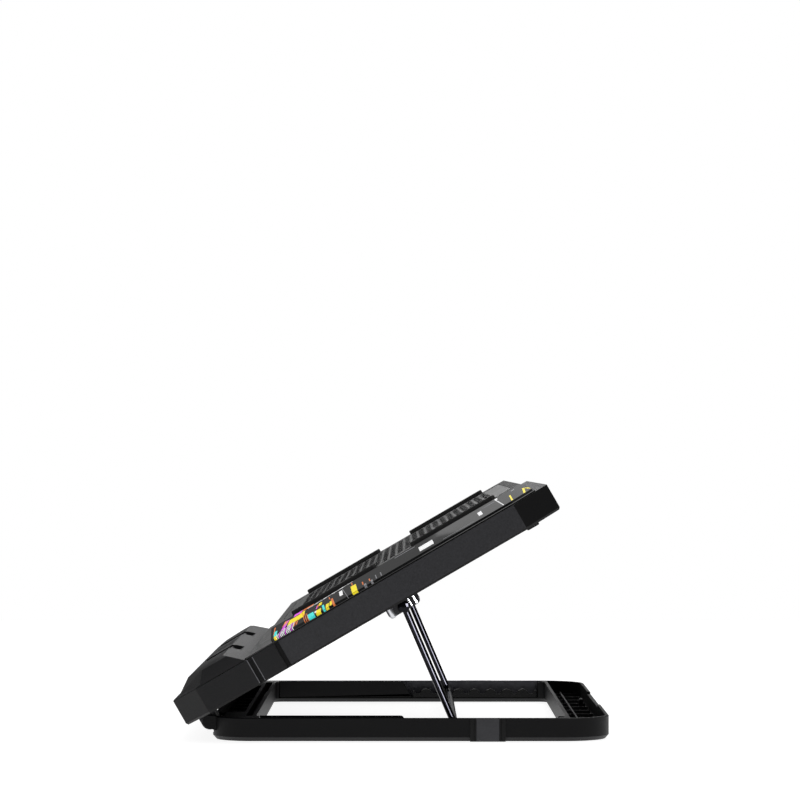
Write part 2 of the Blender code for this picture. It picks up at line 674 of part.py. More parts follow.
def build_strut():
    curve = bpy.data.curves.new("strut_frame", "CURVE")
    curve.dimensions = "3D"
    curve.bevel_depth = ROD_RADIUS * MM
    curve.bevel_resolution = 2
    curve.use_fill_caps = True
    path = strut_path()
    spline = curve.splines.new("POLY")
    spline.points.add(len(path) - 1)
    for point, (x, y) in zip(spline.points, path):
        point.co = (x * MM, y * MM, 0, 1)
    wire = bpy.data.objects.new("strut_wire", curve)
    PARTS.objects.link(wire)
    graph = bpy.context.evaluated_depsgraph_get()
    mesh = bpy.data.meshes.new_from_object(wire.evaluated_get(graph))
    bpy.data.objects.remove(wire, do_unlink=True)
    bm = bmesh.new()
    bm.from_mesh(mesh)
    bmesh.ops.remove_doubles(bm, verts=bm.verts, dist=0.0001)
    rod = finish_mesh(bm)
    shade_round(rod, 50)
    add_piece("strut_frame", rod, STRUT, ("0B0B0C", 0.12, 0.6))

    for side, sign in (("right", 1), ("left", -1)):
        span = sorted((sign * (LEG_X + 9.3), sign * (LEG_X + 10.9)))
        cap = cylinders(3.6, [span], 20, (0, 0))
        shade_round(cap)
        piece = add_piece(f"strut_cap_{side}", cap, STRUT, ("C8C9CC", 0.15, 1.0))
        join(piece, cylinders(1.4, [sorted((sign * (LEG_X + 8.7), sign * (LEG_X + 9.6)))], 12, (0, 0)))


clear_scene()
PARTS = new_collection("laptop_cooling_pad")
CUTTERS = new_collection("cutters")
BASE = new_empty("base_origin", None, (0, HINGE_Y, 0))
DECK = new_empty("deck_hinge_axis", None, (0, HINGE_Y, HINGE_Z), DECK_TILT)
STRUT = new_empty("strut_axis", DECK, (0, *STRUT_PIVOT), -STRUT_ANGLE)

build_base_frame()
build_tooth_racks()
build_rail_covers()
build_side_grips()
build_base_feet()
build_cable_clip()
build_hinge_pins()
build_lower_housing()
build_upper_housing()
build_front_bumper()
build_stoppers()
build_mesh_grille()
build_grip_strips()
build_fans()
build_controls()
build_deck_pads()
build_strut_brackets()
build_strut()
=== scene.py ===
# Looks for a laptop cooling pad: a fan deck hinged at the front of a flat ring base, propped by a bent wire.
# Shapes are drawn in millimetres, each in the frame of the body it belongs to, and stored in metres.
import json
import math
import random

import bmesh
import bpy
from mathutils import Matrix, Vector


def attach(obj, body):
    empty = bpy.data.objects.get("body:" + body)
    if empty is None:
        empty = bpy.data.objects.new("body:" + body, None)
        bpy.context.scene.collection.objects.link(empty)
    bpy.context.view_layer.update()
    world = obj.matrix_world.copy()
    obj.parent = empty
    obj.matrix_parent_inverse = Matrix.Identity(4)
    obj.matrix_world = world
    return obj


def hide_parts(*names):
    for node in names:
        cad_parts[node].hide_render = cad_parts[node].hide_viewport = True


mm = 0.001
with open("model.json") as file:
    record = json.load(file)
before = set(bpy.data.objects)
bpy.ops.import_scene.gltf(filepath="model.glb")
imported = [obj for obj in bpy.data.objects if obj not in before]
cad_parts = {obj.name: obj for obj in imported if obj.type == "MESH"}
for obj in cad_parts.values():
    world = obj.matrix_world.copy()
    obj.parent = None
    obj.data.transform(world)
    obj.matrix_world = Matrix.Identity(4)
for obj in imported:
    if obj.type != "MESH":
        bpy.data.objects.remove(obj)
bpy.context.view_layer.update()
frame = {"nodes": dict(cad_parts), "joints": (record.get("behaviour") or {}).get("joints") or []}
joints = {joint["name"]: joint for joint in frame["joints"]}
print("frame loaded:", len(frame["nodes"]), "nodes")

# The frames that the pieces are drawn in
tiltJoint = joints["deck_tilt"]
hinge = Vector(tiltJoint["pos_m"])
deckTilt = -tiltJoint["range_deg"][0]      # the deck lies flat at this joint's lower limit
legAngle = 96.9                            # from the deck's plane down to the strut's legs


def framed(place, turn=0.0):
    return Matrix.Translation(place) @ Matrix.Rotation(math.radians(turn), 4, "X")


baseFrame = framed((0, hinge.y, 0))
deckFrame = framed(hinge, deckTilt)
strutFrame = framed(joints["strut_swing"]["pos_m"], deckTilt - legAngle)
hingeHeight = hinge.z / mm
strutPivot = deckFrame.inverted() @ Vector(joints["strut_swing"]["pos_m"]) / mm
sides = {"right": 1, "left": -1}


# Outlines

def arc(centre, radius, start, end, steps):
    turns = [math.radians(start + (end - start) * i / steps) for i in range(steps + 1)]
    return [(centre[0] + radius * math.cos(t), centre[1] + radius * math.sin(t)) for t in turns]


def roundedOutline(halfWidth, low, high, frontRadius, rearRadius, steps=12):
    frontX, rearX = halfWidth - frontRadius, halfWidth - rearRadius
    return (arc((frontX, low + frontRadius), frontRadius, -90, 0, steps)
            + arc((rearX, high - rearRadius), rearRadius, 0, 90, steps)
            + arc((-rearX, high - rearRadius), rearRadius, 90, 180, steps)
            + arc((-frontX, low + frontRadius), frontRadius, 180, 270, steps))


def cutCornerOutline(halfWidth, low, high, front, rear):
    # each corner is cut off by a slope given as (width, depth)
    right = [(halfWidth - front[0], low), (halfWidth, low + front[1]),
             (halfWidth, high - rear[1]), (halfWidth - rear[0], high)]
    return right + [(-x, y) for x, y in reversed(right)]


def insetOutline(outline, amount):
    if amount == 0:
        return list(outline)
    moved = []
    for i, point in enumerate(outline):
        before = Vector(point) - Vector(outline[i - 1])
        after = Vector(outline[(i + 1) % len(outline)]) - Vector(point)
        first = Vector((-before.y, before.x)).normalized()
        second = Vector((-after.y, after.x)).normalized()
        step = (first + second) * amount / (1 + first.dot(second))
        moved.append((point[0] + step.x, point[1] + step.y))
    return moved


# Meshes: each function takes millimetres and gives a closed mesh in metres

def finishedMesh(bm):
    bmesh.ops.recalc_face_normals(bm, faces=bm.faces)
    mesh = bpy.data.meshes.new("shape")
    bm.to_mesh(mesh)
    bm.free()
    return mesh


def addLoft(bm, rings):
    rows = [[bm.verts.new(Vector(point) * mm) for point in ring] for ring in rings]
    count = len(rows[0])
    for lower, upper in zip(rows, rows[1:]):
        for i in range(count):
            j = (i + 1) % count
            bm.faces.new((lower[i], lower[j], upper[j], upper[i]))
    bm.faces.new(rows[0])
    bm.faces.new(rows[-1])


def loft(*stacks):
    bm = bmesh.new()
    for rings in stacks:
        addLoft(bm, rings)
    return finishedMesh(bm)


def levels(outline, steps):
    # the outline's rings at each (inset, height)
    return [[(x, y, z) for x, y in insetOutline(outline, amount)] for amount, z in steps]


def stepped(outline, steps):
    return loft(levels(outline, steps))


def alongX(profile, low, high):
    return [[(x, y, z) for y, z in profile] for x in (low, high)]


def boxRings(span):
    (x0, x1), (y0, y1), (z0, z1) = span
    corners = ((x0, y0), (x1, y0), (x1, y1), (x0, y1))
    return [[(x, y, z) for x, y in corners] for z in (z0, z1)]


def boxes(*spans):
    return loft(*[boxRings(span) for span in spans])


def bothSides(*spans):
    return boxes(*spans, *[((-x[1], -x[0]), y, z) for x, y, z in spans])


def circle(centre, radius, count):
    return arc(centre, radius, 0, 360 * (count - 1) / count, count - 1)


def drumRings(radius, low, high, centre=(0, 0), count=40, rim=0.0):
    # a turned shape along Z, with its top edge rounded off by rim
    steps = [(radius, low), (radius, high - rim)]
    if rim:
        steps += arc((radius - rim, high - rim), rim, 30, 90, 2)
    return [[(x, y, z) for x, y in circle(centre, r, count)] for r, z in steps]


def rodRings(radius, low, high, y, z, count=32):
    # a round rod along X
    return alongX(circle((y, z), radius, count), low, high)


def pinRings(radius, low, high, x, z, count=32):
    # a round pin along Y
    return [[(px, y, pz) for px, pz in circle((x, z), radius, count)] for y in (low, high)]


def mirroredRings(rings):
    return [[(-x, y, z) for x, y, z in ring] for ring in rings]


def onSide(sign, rings):
    return rings if sign > 0 else mirroredRings(rings)


def sideSpan(sign, near, far):
    return sorted((sign * near, sign * far))


def pair(rings):
    # the same shape on the right and, mirrored, on the left
    return loft(rings, mirroredRings(rings))


def combined(mesh, tool, operation):
    items = []
    for name, data in (("body", mesh), ("tool", tool)):
        item = bpy.data.objects.new(name, data)
        bpy.context.scene.collection.objects.link(item)
        items.append(item)
    change = items[0].modifiers.new("combine", "BOOLEAN")
    change.operation = operation
    change.solver = "EXACT"
    change.object = items[1]
    graph = bpy.context.evaluated_depsgraph_get()
    result = bpy.data.meshes.new_from_object(items[0].evaluated_get(graph))
    for item in items:
        bpy.data.objects.remove(item, do_unlink=True)
    return result


def cut(mesh, *tools):
    for tool in tools:
        mesh = combined(mesh, tool, "DIFFERENCE")
    return mesh


def fuse(mesh, *tools):
    for tool in tools:
        mesh = combined(mesh, tool, "UNION")
    return mesh


def addPiece(name, mesh, place, body, finish, slot, nodes=(), edge=0.0, smoothAngle=32):
    # edge is the size in mm of the rounding on every sharp edge
    mesh.name = name
    mesh.transform(place)
    mesh.materials.clear()
    mesh.materials.append(finishes[finish])
    piece = bpy.data.objects.new(name, mesh)
    bpy.context.scene.collection.objects.link(piece)
    mesh.shade_smooth()
    mesh.set_sharp_from_angle(angle=math.radians(smoothAngle))
    if edge:
        rounding = piece.modifiers.new("edge rounding", "BEVEL")
        rounding.width = edge * mm
        rounding.segments = 2
        rounding.limit_method = "ANGLE"
        rounding.angle_limit = math.radians(smoothAngle)
        rounding.harden_normals = True
    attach(piece, body)
    if nodes:
        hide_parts(*nodes)
    return piece


def addToBase(name, mesh, *looks, **options):
    return addPiece(name, mesh, baseFrame, "base", *looks, **options)


def addToDeck(name, mesh, *looks, **options):
    return addPiece(name, mesh, deckFrame, "deck", *looks, **options)


def refinish(piece, place, finish, wanted):
    # gives the faces that wanted(centre, normal) picks, in the body's own frame, a second finish
    back = place.inverted()
    turn = back.to_3x3()
    piece.data.materials.append(finishes[finish])
    last = len(piece.data.materials) - 1
    for face in piece.data.polygons:
        if wanted(back @ face.center / mm, turn @ face.normal):
            face.material_index = last


# Materials

def linear(hexColour):
    channels = [int(hexColour[i:i + 2], 16) / 255 for i in (0, 2, 4)]
    return (*[c / 12.92 if c <= 0.04045 else ((c + 0.055) / 1.055) ** 2.4 for c in channels], 1)


def feed(tree, node, feeds):
    # each socket takes a fixed value or another node's output
    for socket, value in feeds.items():
        if isinstance(value, bpy.types.NodeSocket):
            tree.links.new(value, node.inputs[socket])
        else:
            node.inputs[socket].default_value = value


def addNode(tree, kind, feeds=None, **settings):
    node = tree.nodes.new(kind)
    for name, value in settings.items():
        setattr(node, name, value)
    feed(tree, node, feeds or {})
    return node


def perMetre(sizeMm):
    # a texture's scale for features of this size
    return 1 / (sizeMm * mm)


lacquerRoughness = 0.05


def newFinish(name, ior=1.5, metallic=0.0, coat=0.0):
    finish = bpy.data.materials.new(name)
    finish.use_nodes = True
    tree = finish.node_tree
    shader = tree.nodes["Principled BSDF"]
    feed(tree, shader, {"IOR": ior, "Metallic": metallic, "Coat Weight": coat,
                        "Coat Roughness": lacquerRoughness})
    place = addNode(tree, "ShaderNodeTexCoord").outputs["Object"]
    return finish, tree, shader, place


def surfaceFinish(name, look):
    # a surface whose colour drifts between two shades, with a worn-in roughness and a fine relief
    finish, tree, shader, place = newFinish(name, look.get("ior", 1.5), look.get("metallic", 0.0))
    drift = addNode(tree, "ShaderNodeTexNoise", {"Vector": place, "Scale": perMetre(look["driftMm"]),
                                                  "Detail": 3.0})
    shade = addNode(tree, "ShaderNodeMix", {"Factor": drift.outputs["Fac"], "A": linear(look["colours"][0]),
                                            "B": linear(look["colours"][1])}, data_type="RGBA")
    relief = addNode(tree, "ShaderNodeTexNoise", {"Vector": place, "Scale": perMetre(look["grainMm"]),
                                                   "Detail": 4.0, "Roughness": 0.6})
    gloss = addNode(tree, "ShaderNodeMapRange", {"Value": relief.outputs["Fac"], "From Min": 0.3,
                                                 "From Max": 0.7, "To Min": look["roughness"][0],
                                                 "To Max": look["roughness"][1]})
    bump = addNode(tree, "ShaderNodeBump", {"Height": relief.outputs["Fac"], "Strength": look["strength"],
                                            "Distance": look["depthMm"] * mm})
    feed(tree, shader, {"Base Color": shade.outputs["Result"], "Roughness": gloss.outputs["Result"],
                        "Normal": bump.outputs["Normal"]})
    return finish


surfaceLooks = {
    # ABS moulded in a spark-eroded tool: a dull, sandy skin. Its 0.15 mm grain is drawn coarser to show
    "sparkErodedAbs": {"colours": ("151518", "29292E"), "driftMm": 1.6, "grainMm": 1.1, "depthMm": 0.22,
                       "strength": 0.6, "roughness": (0.46, 0.64)},
    # the same plastic from a less deeply eroded tool: darker, with a closer grain; on the front of the deck's
    # sides the darker colour is painted shade
    "fineErodedAbs": {"colours": ("0D0D0F", "141416"), "driftMm": 24, "grainMm": 0.9, "depthMm": 0.12,
                      "strength": 0.45, "roughness": (0.46, 0.62), "ior": 1.38},
    # ABS moulded in a finely blasted tool: smoother, with a soft sheen
    "blastedAbs": {"colours": ("0C0C0D", "121213"), "driftMm": 30, "grainMm": 0.9, "depthMm": 0.08,
                   "strength": 0.35, "roughness": (0.4, 0.54), "ior": 1.24},
    # the same plastic in small, unpolished parts
    "darkAbs": {"colours": ("090909", "0E0E0F"), "driftMm": 14, "grainMm": 0.8, "depthMm": 0.08,
                "strength": 0.4, "roughness": (0.44, 0.6), "ior": 1.3},
    # ABS moulded in a polished tool: mirror-like, with a slow waviness from shrinkage
    "polishedAbs": {"colours": ("070708", "0D0D0F"), "driftMm": 40, "grainMm": 14, "depthMm": 0.05,
                    "strength": 0.25, "roughness": (0.07, 0.14), "ior": 1.53},
    # thermoplastic rubber, moulded smooth: dull and slightly dusty
    "smoothElastomer": {"colours": ("26262A", "303034"), "driftMm": 8, "grainMm": 0.7, "depthMm": 0.06,
                        "strength": 0.4, "roughness": (0.5, 0.66)},
    # moulded silicone rubber: very matt, dusty grey on black
    "siliconeRubber": {"colours": ("0E0E0F", "191919"), "driftMm": 5, "grainMm": 0.6, "depthMm": 0.08,
                       "strength": 0.5, "roughness": (0.72, 0.9)},
    # steel wire with a black nickel plating: a dark mirror
    "blackNickelWire": {"colours": ("18181B", "222226"), "driftMm": 9, "grainMm": 2.5, "depthMm": 0.01,
                        "strength": 0.15, "roughness": (0.07, 0.13), "metallic": 1.0},
    # chromium plating over a blasted part: bright, but blurred
    "satinChromium": {"colours": ("CFD0D4", "DEDFE2"), "driftMm": 5, "grainMm": 0.9, "depthMm": 0.01,
                      "strength": 0.2, "roughness": (0.26, 0.36), "metallic": 1.0},
    # drawn steel rod, left bare: grey with fine die lines
    "drawnSteel": {"colours": ("85868A", "97989C"), "driftMm": 3, "grainMm": 0.6, "depthMm": 0.02,
                   "strength": 0.3, "roughness": (0.25, 0.4), "metallic": 1.0},
    # ABS in a lighter, slightly shiny grey: a painted highlight along exposed edges
    "paintedHighlightAbs": {"colours": ("5C5C60", "707074"), "driftMm": 4, "grainMm": 0.8, "depthMm": 0.03,
                  "strength": 0.2, "roughness": (0.3, 0.42)},
    # ABS moulded in a coarsely eroded tool: an open grain, coloured pale grey as a painted sheen for the
    # light it scatters; drawn at twice its size
    "paintedSheenCoarseAbs": {"colours": ("505056", "6A6A70"), "driftMm": 3, "grainMm": 1.6, "depthMm": 0.3,
                        "strength": 0.7, "roughness": (0.5, 0.7)},
    # steel rod blackened in a hot oxide bath: dull blue-black
    "blackOxideSteel": {"colours": ("1C1C1F", "29292C"), "driftMm": 3, "grainMm": 0.6, "depthMm": 0.02,
                        "strength": 0.3, "roughness": (0.35, 0.5), "metallic": 1.0},
    # glass-filled PBT, as in fans: a faintly streaky satin
    "filledPbt": {"colours": ("171718", "212122"), "driftMm": 6, "grainMm": 1.4, "depthMm": 0.05,
                  "strength": 0.3, "roughness": (0.3, 0.44)},
}


def powderCoatedSteel():
    # steel sheet, perforated and powder-coated: an even black with a fine orange-peel skin, 1 mm across
    finish, tree, shader, place = newFinish("powderCoatedSteel", coat=0.15)
    cells = addNode(tree, "ShaderNodeTexVoronoi", {"Vector": place, "Scale": perMetre(1.0)},
                    feature="SMOOTH_F1")
    cloud = addNode(tree, "ShaderNodeTexNoise", {"Vector": place, "Scale": perMetre(18), "Detail": 3.0})
    shade = addNode(tree, "ShaderNodeMix", {"Factor": cloud.outputs["Fac"], "A": linear("131314"),
                                            "B": linear("1D1D1F")}, data_type="RGBA")
    bump = addNode(tree, "ShaderNodeBump", {"Height": cells.outputs["Distance"], "Strength": 0.3,
                                            "Distance": 0.06 * mm})
    gloss = addNode(tree, "ShaderNodeMapRange", {"Value": cloud.outputs["Fac"], "To Min": 0.34,
                                                 "To Max": 0.48})
    feed(tree, shader, {"Base Color": shade.outputs["Result"], "Roughness": gloss.outputs["Result"],
                        "Normal": bump.outputs["Normal"]})
    return finish


def rolledNickel():
    # nickel-plated sheet steel, folded to a socket shell: rolling lines along its length
    finish, tree, shader, place = newFinish("rolledNickel", metallic=1.0)
    stretched = addNode(tree, "ShaderNodeMapping", {"Vector": place, "Scale": (1.0, 0.04, 1.0)})
    lines = addNode(tree, "ShaderNodeTexNoise", {"Vector": stretched.outputs["Vector"],
                                                 "Scale": perMetre(0.3), "Detail": 2.0})
    shade = addNode(tree, "ShaderNodeMix", {"Factor": lines.outputs["Fac"], "A": linear("A9ABAE"),
                                            "B": linear("C9CACC")}, data_type="RGBA")
    gloss = addNode(tree, "ShaderNodeMapRange", {"Value": lines.outputs["Fac"], "To Min": 0.18,
                                                 "To Max": 0.36})
    feed(tree, shader, {"Base Color": shade.outputs["Result"], "Roughness": gloss.outputs["Result"]})
    return finish


def maskedFibreglass():
    # fibreglass circuit board under green solder mask: copper tracks show through as a lighter green
    finish, tree, shader, place = newFinish("maskedFibreglass", coat=0.4)
    tracks = addNode(tree, "ShaderNodeTexBrick",
                     {"Vector": place, "Scale": perMetre(8.0), "Color1": linear("14502B"),
                      "Color2": linear("185A31"), "Mortar": linear("2E8A4C"), "Mortar Size": 0.03,
                      "Brick Width": 0.9, "Row Height": 0.22})
    weave = addNode(tree, "ShaderNodeTexNoise", {"Vector": place, "Scale": perMetre(0.8)})
    bump = addNode(tree, "ShaderNodeBump", {"Height": weave.outputs["Fac"], "Strength": 0.2,
                                            "Distance": 0.03 * mm})
    gloss = addNode(tree, "ShaderNodeMapRange", {"Value": weave.outputs["Fac"], "To Min": 0.25,
                                                 "To Max": 0.4})
    feed(tree, shader, {"Base Color": tracks.outputs["Color"], "Roughness": gloss.outputs["Result"],
                        "Normal": bump.outputs["Normal"]})
    return finish


inkColours = {"white": ("E9EAEC", "FFFFFF"), "grey": ("6C6C70", "8A8A8E"), "yellow": ("F2DC12", "FFEB24"),
              "orange": ("C4622E", "E8823E"), "magenta": ("D14FD8", "EE62F0"), "cyan": ("35D6D2", "52F0E6")}
# painted glow: the strength at which every ink gives off light in its own colour
inkPaintedGlow = 0.3


def screenInk(name, colours):
    # bright ink screen-printed under a clear lacquer: flat, faintly uneven colour, with a painted glow that
    # lights it whatever the lamps
    finish, tree, shader, place = newFinish("screenInk" + name.capitalize(), coat=0.3)
    patches = addNode(tree, "ShaderNodeTexNoise", {"Vector": place, "Scale": perMetre(2.2), "Detail": 4.0})
    shade = addNode(tree, "ShaderNodeMix", {"Factor": patches.outputs["Fac"], "A": linear(colours[0]),
                                            "B": linear(colours[1])}, data_type="RGBA")
    gloss = addNode(tree, "ShaderNodeMapRange", {"Value": patches.outputs["Fac"], "To Min": 0.3,
                                                 "To Max": 0.42})
    feed(tree, shader, {"Base Color": shade.outputs["Result"], "Roughness": gloss.outputs["Result"],
                        "Emission Color": shade.outputs["Result"], "Emission Strength": inkPaintedGlow})
    return finish


finishes = {name: surfaceFinish(name, look) for name, look in surfaceLooks.items()}
finishes.update(powderCoatedSteel=powderCoatedSteel(), rolledNickel=rolledNickel(),
                maskedFibreglass=maskedFibreglass())
finishes.update({name + "Ink": screenInk(name, colours) for name, colours in inkColours.items()})
print("materials made:", len(finishes))


# Base

base = {"halfWidth": 168, "front": 1.6, "rear": 241, "bottom": 0.3, "top": 14.2, "frontCorner": 24,
        "rearCorner": 28.5, "wall": 2.2, "floor": 3.0, "ringHalfWidth": 152, "ringFront": 28,
        "ringRear": 214.5, "trayFront": 216.5, "channelEnd": 209.8, "ribPitch": 30, "barRibPitch": 26,
        "halfRib": 0.6, "footSlope": 2.4, "hookX": 157.6, "hookRadius": 4.2, "above": 16}
lug = {"insideX": 127.3, "outsideX": 148.7, "width": 5, "clearance": 0.8, "radius": 4.0, "bore": 2.3,
       "pin": 2.0, "pinEnd": 1.5, "pinReach": 3}
footPlaces = {"front_right": (140, 15), "front_left": (-140, 15), "rear_right": (150, 224),
              "rear_left": (-150, 224)}
foot = {"radius": 5.5, "height": 1.3, "dimple": 3.6, "dimpleDepth": 0.25, "seat": 5.8, "seatDepth": 1.6}


def buildBaseFrame():
    outline = roundedOutline(base["halfWidth"], base["front"], base["rear"], base["frontCorner"],
                             base["rearCorner"])
    low, top, above, halfRib = base["bottom"], base["top"], base["above"], base["halfRib"]
    slope = low + base["footSlope"]
    mesh = stepped(outline, [(2.2, low), (0, slope), (0, top - 0.5), (0.5, top)])
    ring = roundedOutline(base["ringHalfWidth"], base["ringFront"], base["ringRear"], 5, 5, 8)
    seats = [drumRings(foot["seat"], -1, foot["seatDepth"], place) for place in footPlaces.values()]
    mesh = cut(mesh, stepped(ring, [(-3.2, -0.4), (-2.2, low), (0, slope), (0, above)]), loft(*seats))
    inside = insetOutline(outline, base["wall"])
    tray = [point for point in inside if point[1] > base["trayFront"]]
    edge = tray[0][0]
    trayOutline = [(edge, base["trayFront"]), *tray, (-edge, base["trayFront"])]
    depth = (base["floor"], above)
    mesh = cut(mesh, loft(levels(trayOutline, [(0, z) for z in depth])))
    channelX = (base["ringHalfWidth"] - 6, base["halfWidth"] - base["wall"])
    hooks = drumRings(base["hookRadius"], *depth, (base["hookX"], base["channelEnd"] - 0.5), 24)
    # the side channels, their round ends, the hollow front bar, the slot behind it and a finger notch
    mesh = cut(mesh, bothSides((channelX, (base["ringFront"] + 2, base["channelEnd"]), depth)), pair(hooks),
               boxes(((-117, 117), (4.4, 19.6), depth), ((-150, 150), (21.6, 26), (8, above)),
                     ((-58, 58), (236, 242), (12.6, above))))
    ribs = [((x - halfRib, x + halfRib), (216, 237.6), (2, 6.2))
            for x in [i * base["ribPitch"] for i in range(-5, 6)]]
    barRibs = [((x - halfRib, x + halfRib), (4, 20), (2, 8))
               for x in [i * base["barRibPitch"] for i in range(-4, 5)]]
    divider = ((-163.5, 163.5), (225, 225.9), (2, 7))
    return fuseLugs(fuse(mesh, boxes(divider), boxes(*ribs), boxes(*barRibs)))


def fuseLugs(mesh):
    low, high = lug["insideX"] - lug["clearance"], lug["outsideX"] + lug["clearance"]
    mesh = cut(mesh, bothSides(((low, high), (-2, 8.6), (3.6, base["above"]))))
    profile = [*arc((0, hingeHeight), lug["radius"], 110, 270, 16), (9, hingeHeight - 7), (9, 13.6)]
    for start in (low - lug["width"], high):
        ear = alongX(profile, start, start + lug["width"])
        mesh = fuse(mesh, pair(ear))
    reach = (low - lug["width"] - 1, high + lug["width"] - 1)      # the outer ear is closed
    bore = rodRings(lug["bore"], *reach, 0, hingeHeight)
    return cut(mesh, pair(bore))


rack = {"count": 8, "pitch": 11.2, "first": 126.6, "radius": 2.4, "top": 8.4, "width": 8.5, "floor": 3.3}


def buildRacks():
    start, last = rack["first"] - 3.3, rack["first"] + rack["pitch"] * (rack["count"] - 1)
    top = [(start, rack["top"] - 0.4)]
    for i in range(rack["count"]):
        middle = rack["first"] + rack["pitch"] * i
        top += arc((middle, rack["top"] - 0.3), rack["radius"], 180, 360, 10)
        top += arc((middle + rack["pitch"] / 2, rack["top"] - 1.0), 1.9, 120, 60, 4)
    top = top[:-5] + [(last + 4, rack["top"])]
    profile = [(start, rack["floor"]), *top, (last + 4, rack["floor"])]
    rings = alongX(profile, base["ringHalfWidth"] + 0.3, base["ringHalfWidth"] + rack["width"])
    for side, sign in sides.items():
        mesh = loft(onSide(sign, rings))
        addToBase(f"toothRack.{side}", mesh, "darkAbs", "dark_moulding", [f"tooth_rack_{side}"], edge=0.25,
                  smoothAngle=28)


cover = {"top": 13.0, "lipTop": 14.6, "lipWidth": 1.6, "rear": 122.5, "front": 30.4, "low": 3.3}


def buildRailCovers():
    inner = base["ringHalfWidth"] + 0.3
    outer = base["halfWidth"] - base["wall"] - 0.3
    rear, top, lipTop = cover["rear"], cover["top"], cover["lipTop"]
    nose = arc((rear - 7.6, top - 1.6), 1.6, 90, 25, 5)
    body = [(cover["front"], cover["low"]), (cover["front"], top), *nose, (rear, cover["low"])]
    lipNose = arc((rear - 7.4, lipTop - 1.8), 1.8, 90, 25, 5)
    lip = [(cover["front"], cover["low"] + 1), (cover["front"], lipTop), *lipNose,
           (rear - 1, cover["low"] + 1)]
    for side, sign in sides.items():
        mesh = fuse(loft(onSide(sign, alongX(body, inner, outer))),
                    loft(onSide(sign, alongX(lip, inner, inner + cover["lipWidth"]))))
        channel = sideSpan(sign, inner + 4.4, outer - 3.4)
        mesh = cut(mesh, boxes((channel, (cover["front"] + 5, rear - 13), (top - 0.8, top + 2))))
        addToBase(f"railCover.{side}", mesh, "blastedAbs", "dark_moulding", [f"rail_cover_{side}"],
                  edge=0.35)


grip = {"front": 156.5, "rear": 177.7, "panel": (160.2, 173.9), "thickness": 1.0, "groove": 0.6}


def buildSideGrips():
    # bands wrapped over the rail's outer face: a raised, paler centre panel between two dark grooves
    inner, outer = base["halfWidth"] + 0.3, base["halfWidth"] + grip["thickness"]

    def section(reach):
        return [(inner, 14.2), (inner, 2.9), (inner - 2.4, 0.3), (inner - 1.6, 0.0),
                (reach - 0.3, 0.4), (reach, 2.6), (reach, 14.2)]

    stations = [(grip["front"], outer - 0.3), (grip["front"] + 0.5, outer - 0.1)]
    low, high = grip["panel"]
    stations += [(low - 1.5, outer - 0.1), (low - 1.3, outer - grip["groove"]),
                 (low - 0.1, outer - grip["groove"]), (low + 0.1, outer),
                 (high - 0.1, outer), (high + 0.1, outer - grip["groove"]),
                 (high + 1.3, outer - grip["groove"]), (high + 1.5, outer - 0.1)]
    stations += [(grip["rear"] - 0.5, outer - 0.1), (grip["rear"], outer - 0.3)]
    rings = [[(x, y, z) for x, z in section(reach)] for y, reach in stations]
    for side, sign in sides.items():
        mesh = loft(onSide(sign, rings))
        piece = addToBase(f"sideGrip.{side}", mesh, "smoothElastomer", "soft_grip", [f"side_grip_{side}"],
                          smoothAngle=20)
        refinish(piece, baseFrame, "darkAbs", lambda centre, normal: not low < centre.y < high)


def buildFeet():
    for name, place in footPlaces.items():
        mesh = loft(drumRings(foot["radius"], 0, foot["height"], place))
        dimple = loft(drumRings(foot["dimple"], -1, foot["dimpleDepth"], place))
        addToBase(f"rubberFoot.{name}", cut(mesh, dimple), "siliconeRubber", "rubber",
                  [f"rubber_foot_{name}"], edge=0.2)


def buildCableClip():
    mesh = fuse(boxes(((-45.2, -43.0), (232.6, 235.4), (3.6, 9.4))),
                stepped([(-48, 232.8), (-40.2, 232.8), (-40.2, 235.2), (-48, 235.2)],
                        [(0.3, 9.0), (0, 9.3), (0, 10.2), (0.5, 10.6)]))
    addToBase("cableClip", mesh, "darkAbs", "dark_moulding", ["cable_clip"], edge=0.25)


def buildHingePins():
    for side, sign in sides.items():
        low, high = sideSpan(sign, lug["insideX"] - lug["pinReach"], lug["outsideX"] + lug["pinReach"])
        steps = ((lug["pinEnd"], low - 0.2), (lug["pin"], low), (lug["pin"], high),
                 (lug["pinEnd"], high + 0.2))
        rings = [rodRings(radius, x, x, 0, hingeHeight)[0] for radius, x in steps]
        addToBase(f"hingePin.{side}", loft(rings), "blackOxideSteel", "pin_steel", [f"hinge_pin_{side}"])


def addBaseFrame():
    # blasted, with a fine grain on the slope round the foot and a coarse one on the walls by the racks, whose
    # pale grey is a painted sheen
    piece = addToBase("baseFrame", buildBaseFrame(), "blastedAbs", "moulded_black", ["base_frame"],
                      edge=0.3)
    wallX = base["halfWidth"] - base["wall"]
    refinish(piece, baseFrame, "fineErodedAbs",
             lambda centre, normal: centre.z < base["bottom"] + base["footSlope"]
             and -0.95 < normal.z < -0.2)
    # painted sheen: the inner faces of the outer walls by the racks are coloured pale grey
    refinish(piece, baseFrame, "paintedSheenCoarseAbs",
             lambda centre, normal: abs(abs(centre.x) - wallX) < 0.3 and centre.x * normal.x < 0
             and centre.z > base["floor"])


addBaseFrame()
buildRacks()
buildRailCovers()
buildSideGrips()
buildFeet()
buildCableClip()
buildHingePins()
print("base built")


# Deck

deck = {"halfWidth": 182, "front": -12, "rear": 246.8, "bottom": 5, "wallTop": 21.8, "top": 30.2, "floor": 3,
        "frontCorner": (20, 17.1), "rearCorner": (20, 23.9), "grooves": ((39.7, 43.7), (58.6, 61.6)),
        "grooveDepth": 1.2, "rearRoof": 18.8, "above": 24}
fans = {"columns": (-84, 0, 84), "rows": (96, 169), "size": 70, "height": 13, "bore": 32.5, "blades": 7,
        "blowerTop": 12.2, "screwX": 30.5, "screwBore": 2.1, "spokes": 4, "spokeTurn": 0.5}
